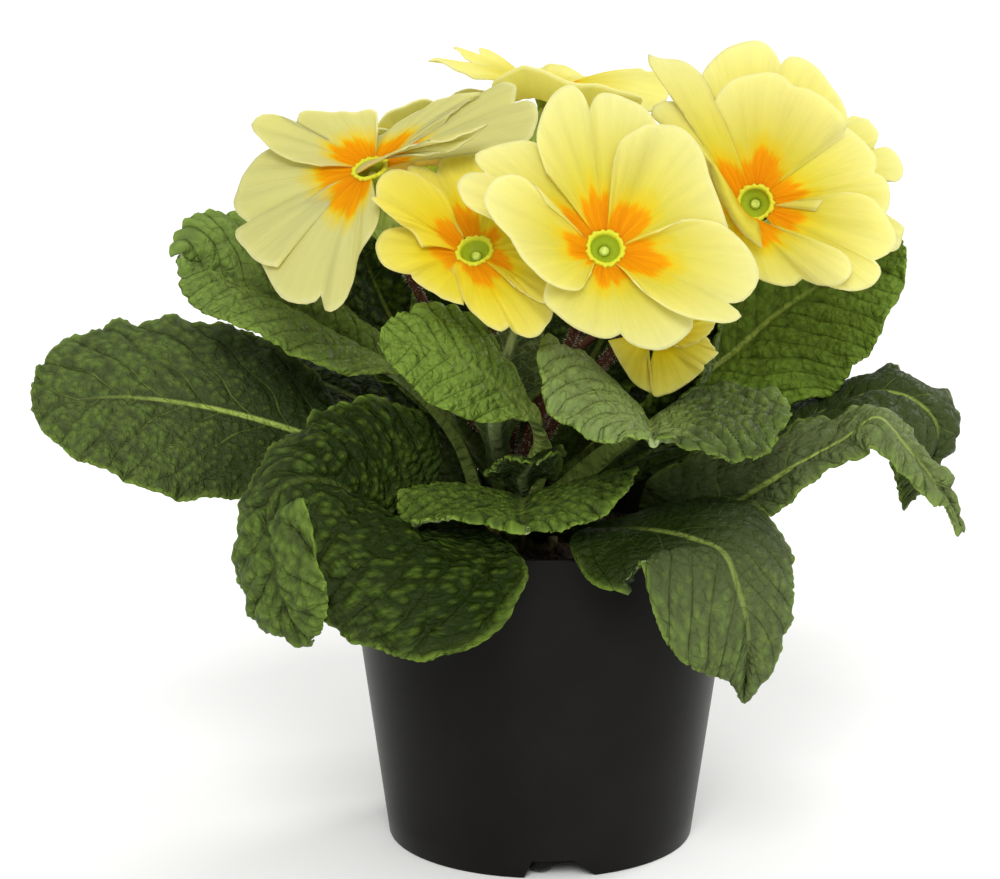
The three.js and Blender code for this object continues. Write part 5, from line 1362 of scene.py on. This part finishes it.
def down_tree():
    """Short soft hairs that stand off a surface, each a thin three-sided spike."""
    tree, given, output = new_tree("down", Density=1e6, Length=0.001, Width=0.0001, Seed=1)
    scatter = {"Mesh": given["Geometry"], "Density": given["Density"], "Seed": given["Seed"]}
    points = add(tree, "GeometryNodeDistributePointsOnFaces", scatter)
    cone = {"Vertices": 3, "Radius Top": 0.1, "Radius Bottom": 1.0, "Depth": 1.0}
    spike = add(tree, "GeometryNodeMeshCone", cone, fill_type="NONE")
    leans = {0: (-0.45, -0.45, 0.0), 1: (0.45, 0.45, 6.3), "Seed": 5}
    lean = add(tree, RANDOM, leans, data_type="FLOAT_VECTOR")
    upright = points.node.outputs["Rotation"]
    leaning = add(tree, "FunctionNodeRotateRotation", (upright, lean), rotation_space="LOCAL")
    tall = add(tree, RANDOM, {2: 0.5, 3: 1.1, "Seed": 6}, out=1, data_type="FLOAT")
    long = add(tree, MATH, (tall, given["Length"]), operation="MULTIPLY")
    size = add(tree, "ShaderNodeCombineXYZ", (given["Width"], given["Width"], long))
    hairs = {"Points": points, "Instance": spike, "Rotation": leaning, "Scale": size}
    return close_tree(add(tree, "GeometryNodeInstanceOnPoints", hairs), DOWN, output)


def open_bloom(number, bloom, stems, down):
    name = f"bloom_{number:02d}"
    place = placed(bloom["eye"], bloom["facing"])
    lobes = [*bloom.get("lobes", []), *(plain_lobe(*lobe) for lobe in bloom.get("plain_lobes", []))]
    corolla(name + "_lobes", lobes, place, bloom, name + "_petals")
    throat(name + "_throat", place, name + "_petals")
    calyx(name + "_sepals", place, name + "_calyx")
    pistil(name + "_stigma", place, name + "_pistil")
    stem = stalk(name + "_stem", bloom, place, name + "_stalk", stems)
    fuzz = {"Density": 1.6e6, "Length": 0.9 * MM, "Width": 0.035 * MM, "Seed": number}
    finish_piece(grow(name + "_down", down, stem.data.copy(), fuzz), "stalk")


def bud(stems):
    eye, axes = placed(BUD["eye"], BUD["facing"])
    neck = CALYX["inner"] - 0.6
    heights = [-CALYX["floor"] + 0.3, -CALYX["top"], -5, -3.4, -1.5, 0.5, 1.7, 2.5]
    radii = [neck * 0.8, neck, 3.2, 3.6, 3.5, 2.9, 1.8, 0.8]

    def furled(k, radius, height, angle):
        free = smoothstep(height, -CALYX["top"], -3)
        return radius * (1 + 0.1 * free * abs(math.sin(2.5 * angle + 0.35 * height))), height

    points, faces, _ = revolve([[0, heights[0]], *zip(radii, heights), [0, 2.8]], 60, furled)
    pairs = np.stack([points[:, 0], np.full(len(points), 2.0)], 1)
    zero = np.zeros(len(points))
    piece = new_piece(
        "bud_furled", points @ axes + eye, faces, [PETAL], uvs={"petal": pairs},
        values={"under": zero, "turn": zero + 2, "vivid": zero + 0.6, "dull": zero},
    )
    finish_piece(piece, "petal", "bud_petals")
    calyx("bud_sepals", (eye, axes), "bud_calyx")
    stalk("bud_stem", BUD, (eye, axes), "bud_stalk", stems)


# Stage, lights and camera


def stage():
    """A wide sheet of pale paper to stand on."""
    paper, _, shader = new_material("pale_paper")
    wire(shader, {"Base Color": colour("F6F6F4"), "Roughness": 0.9})
    far = 9e3
    corners = [[-far, -far, 0], [far, -far, 0], [far, far, 0], [-far, far, 0]]
    floor = new_piece("floor", corners, [[0, 1, 2, 3]], [paper])


def soft_light(name, direction, strength, spread):
    """A far, wide and even light that comes from a direction."""
    data = bpy.data.lights.new(name, "SUN")
    data.energy = strength
    data.angle = math.radians(spread)
    lamp = bpy.data.objects.new(name, data)
    bpy.context.scene.collection.objects.link(lamp)
    lamp.location = direction
    lamp.rotation_euler = lamp.location.to_track_quat("Z", "Y").to_euler()


def camera():
    data = bpy.data.cameras.new("camera")
    data.lens = 110
    data.sensor_width = 36
    eye = bpy.data.objects.new("camera", data)
    bpy.context.scene.collection.objects.link(eye)
    eye.location = (0, -0.6714, 0.2359)
    eye.rotation_euler = (math.radians(90 - 12.15), 0, math.radians(0.79))
    bpy.context.scene.camera = eye


def lights():
    world = bpy.data.worlds.new("studio")
    world.use_nodes = True
    wire(world.node_tree.nodes["Background"], {"Color": (1, 1, 1, 1), "Strength": 0.74})
    bpy.context.scene.world = world
    bpy.context.scene.view_settings.view_transform = "Standard"
    soft_light("key", (-0.05, -1.0, 0.75), 1.95, 25)
    soft_light("fill", (1.0, -0.6, 0.9), 0.35, 60)
    soft_light("edge", (0.7, 0.65, 0.5), 1.1, 25)


stage()
camera()
lights()
pot()
soil()
crown()
for number, leaf in enumerate(LEAVES, 1):
    grown_leaf(number, {**USUAL, **leaf})
stems, down = stalk_tree(), down_tree()
for number, bloom in enumerate(BLOOMS, 1):
    open_bloom(number, bloom, stems, down)
bud(stems)
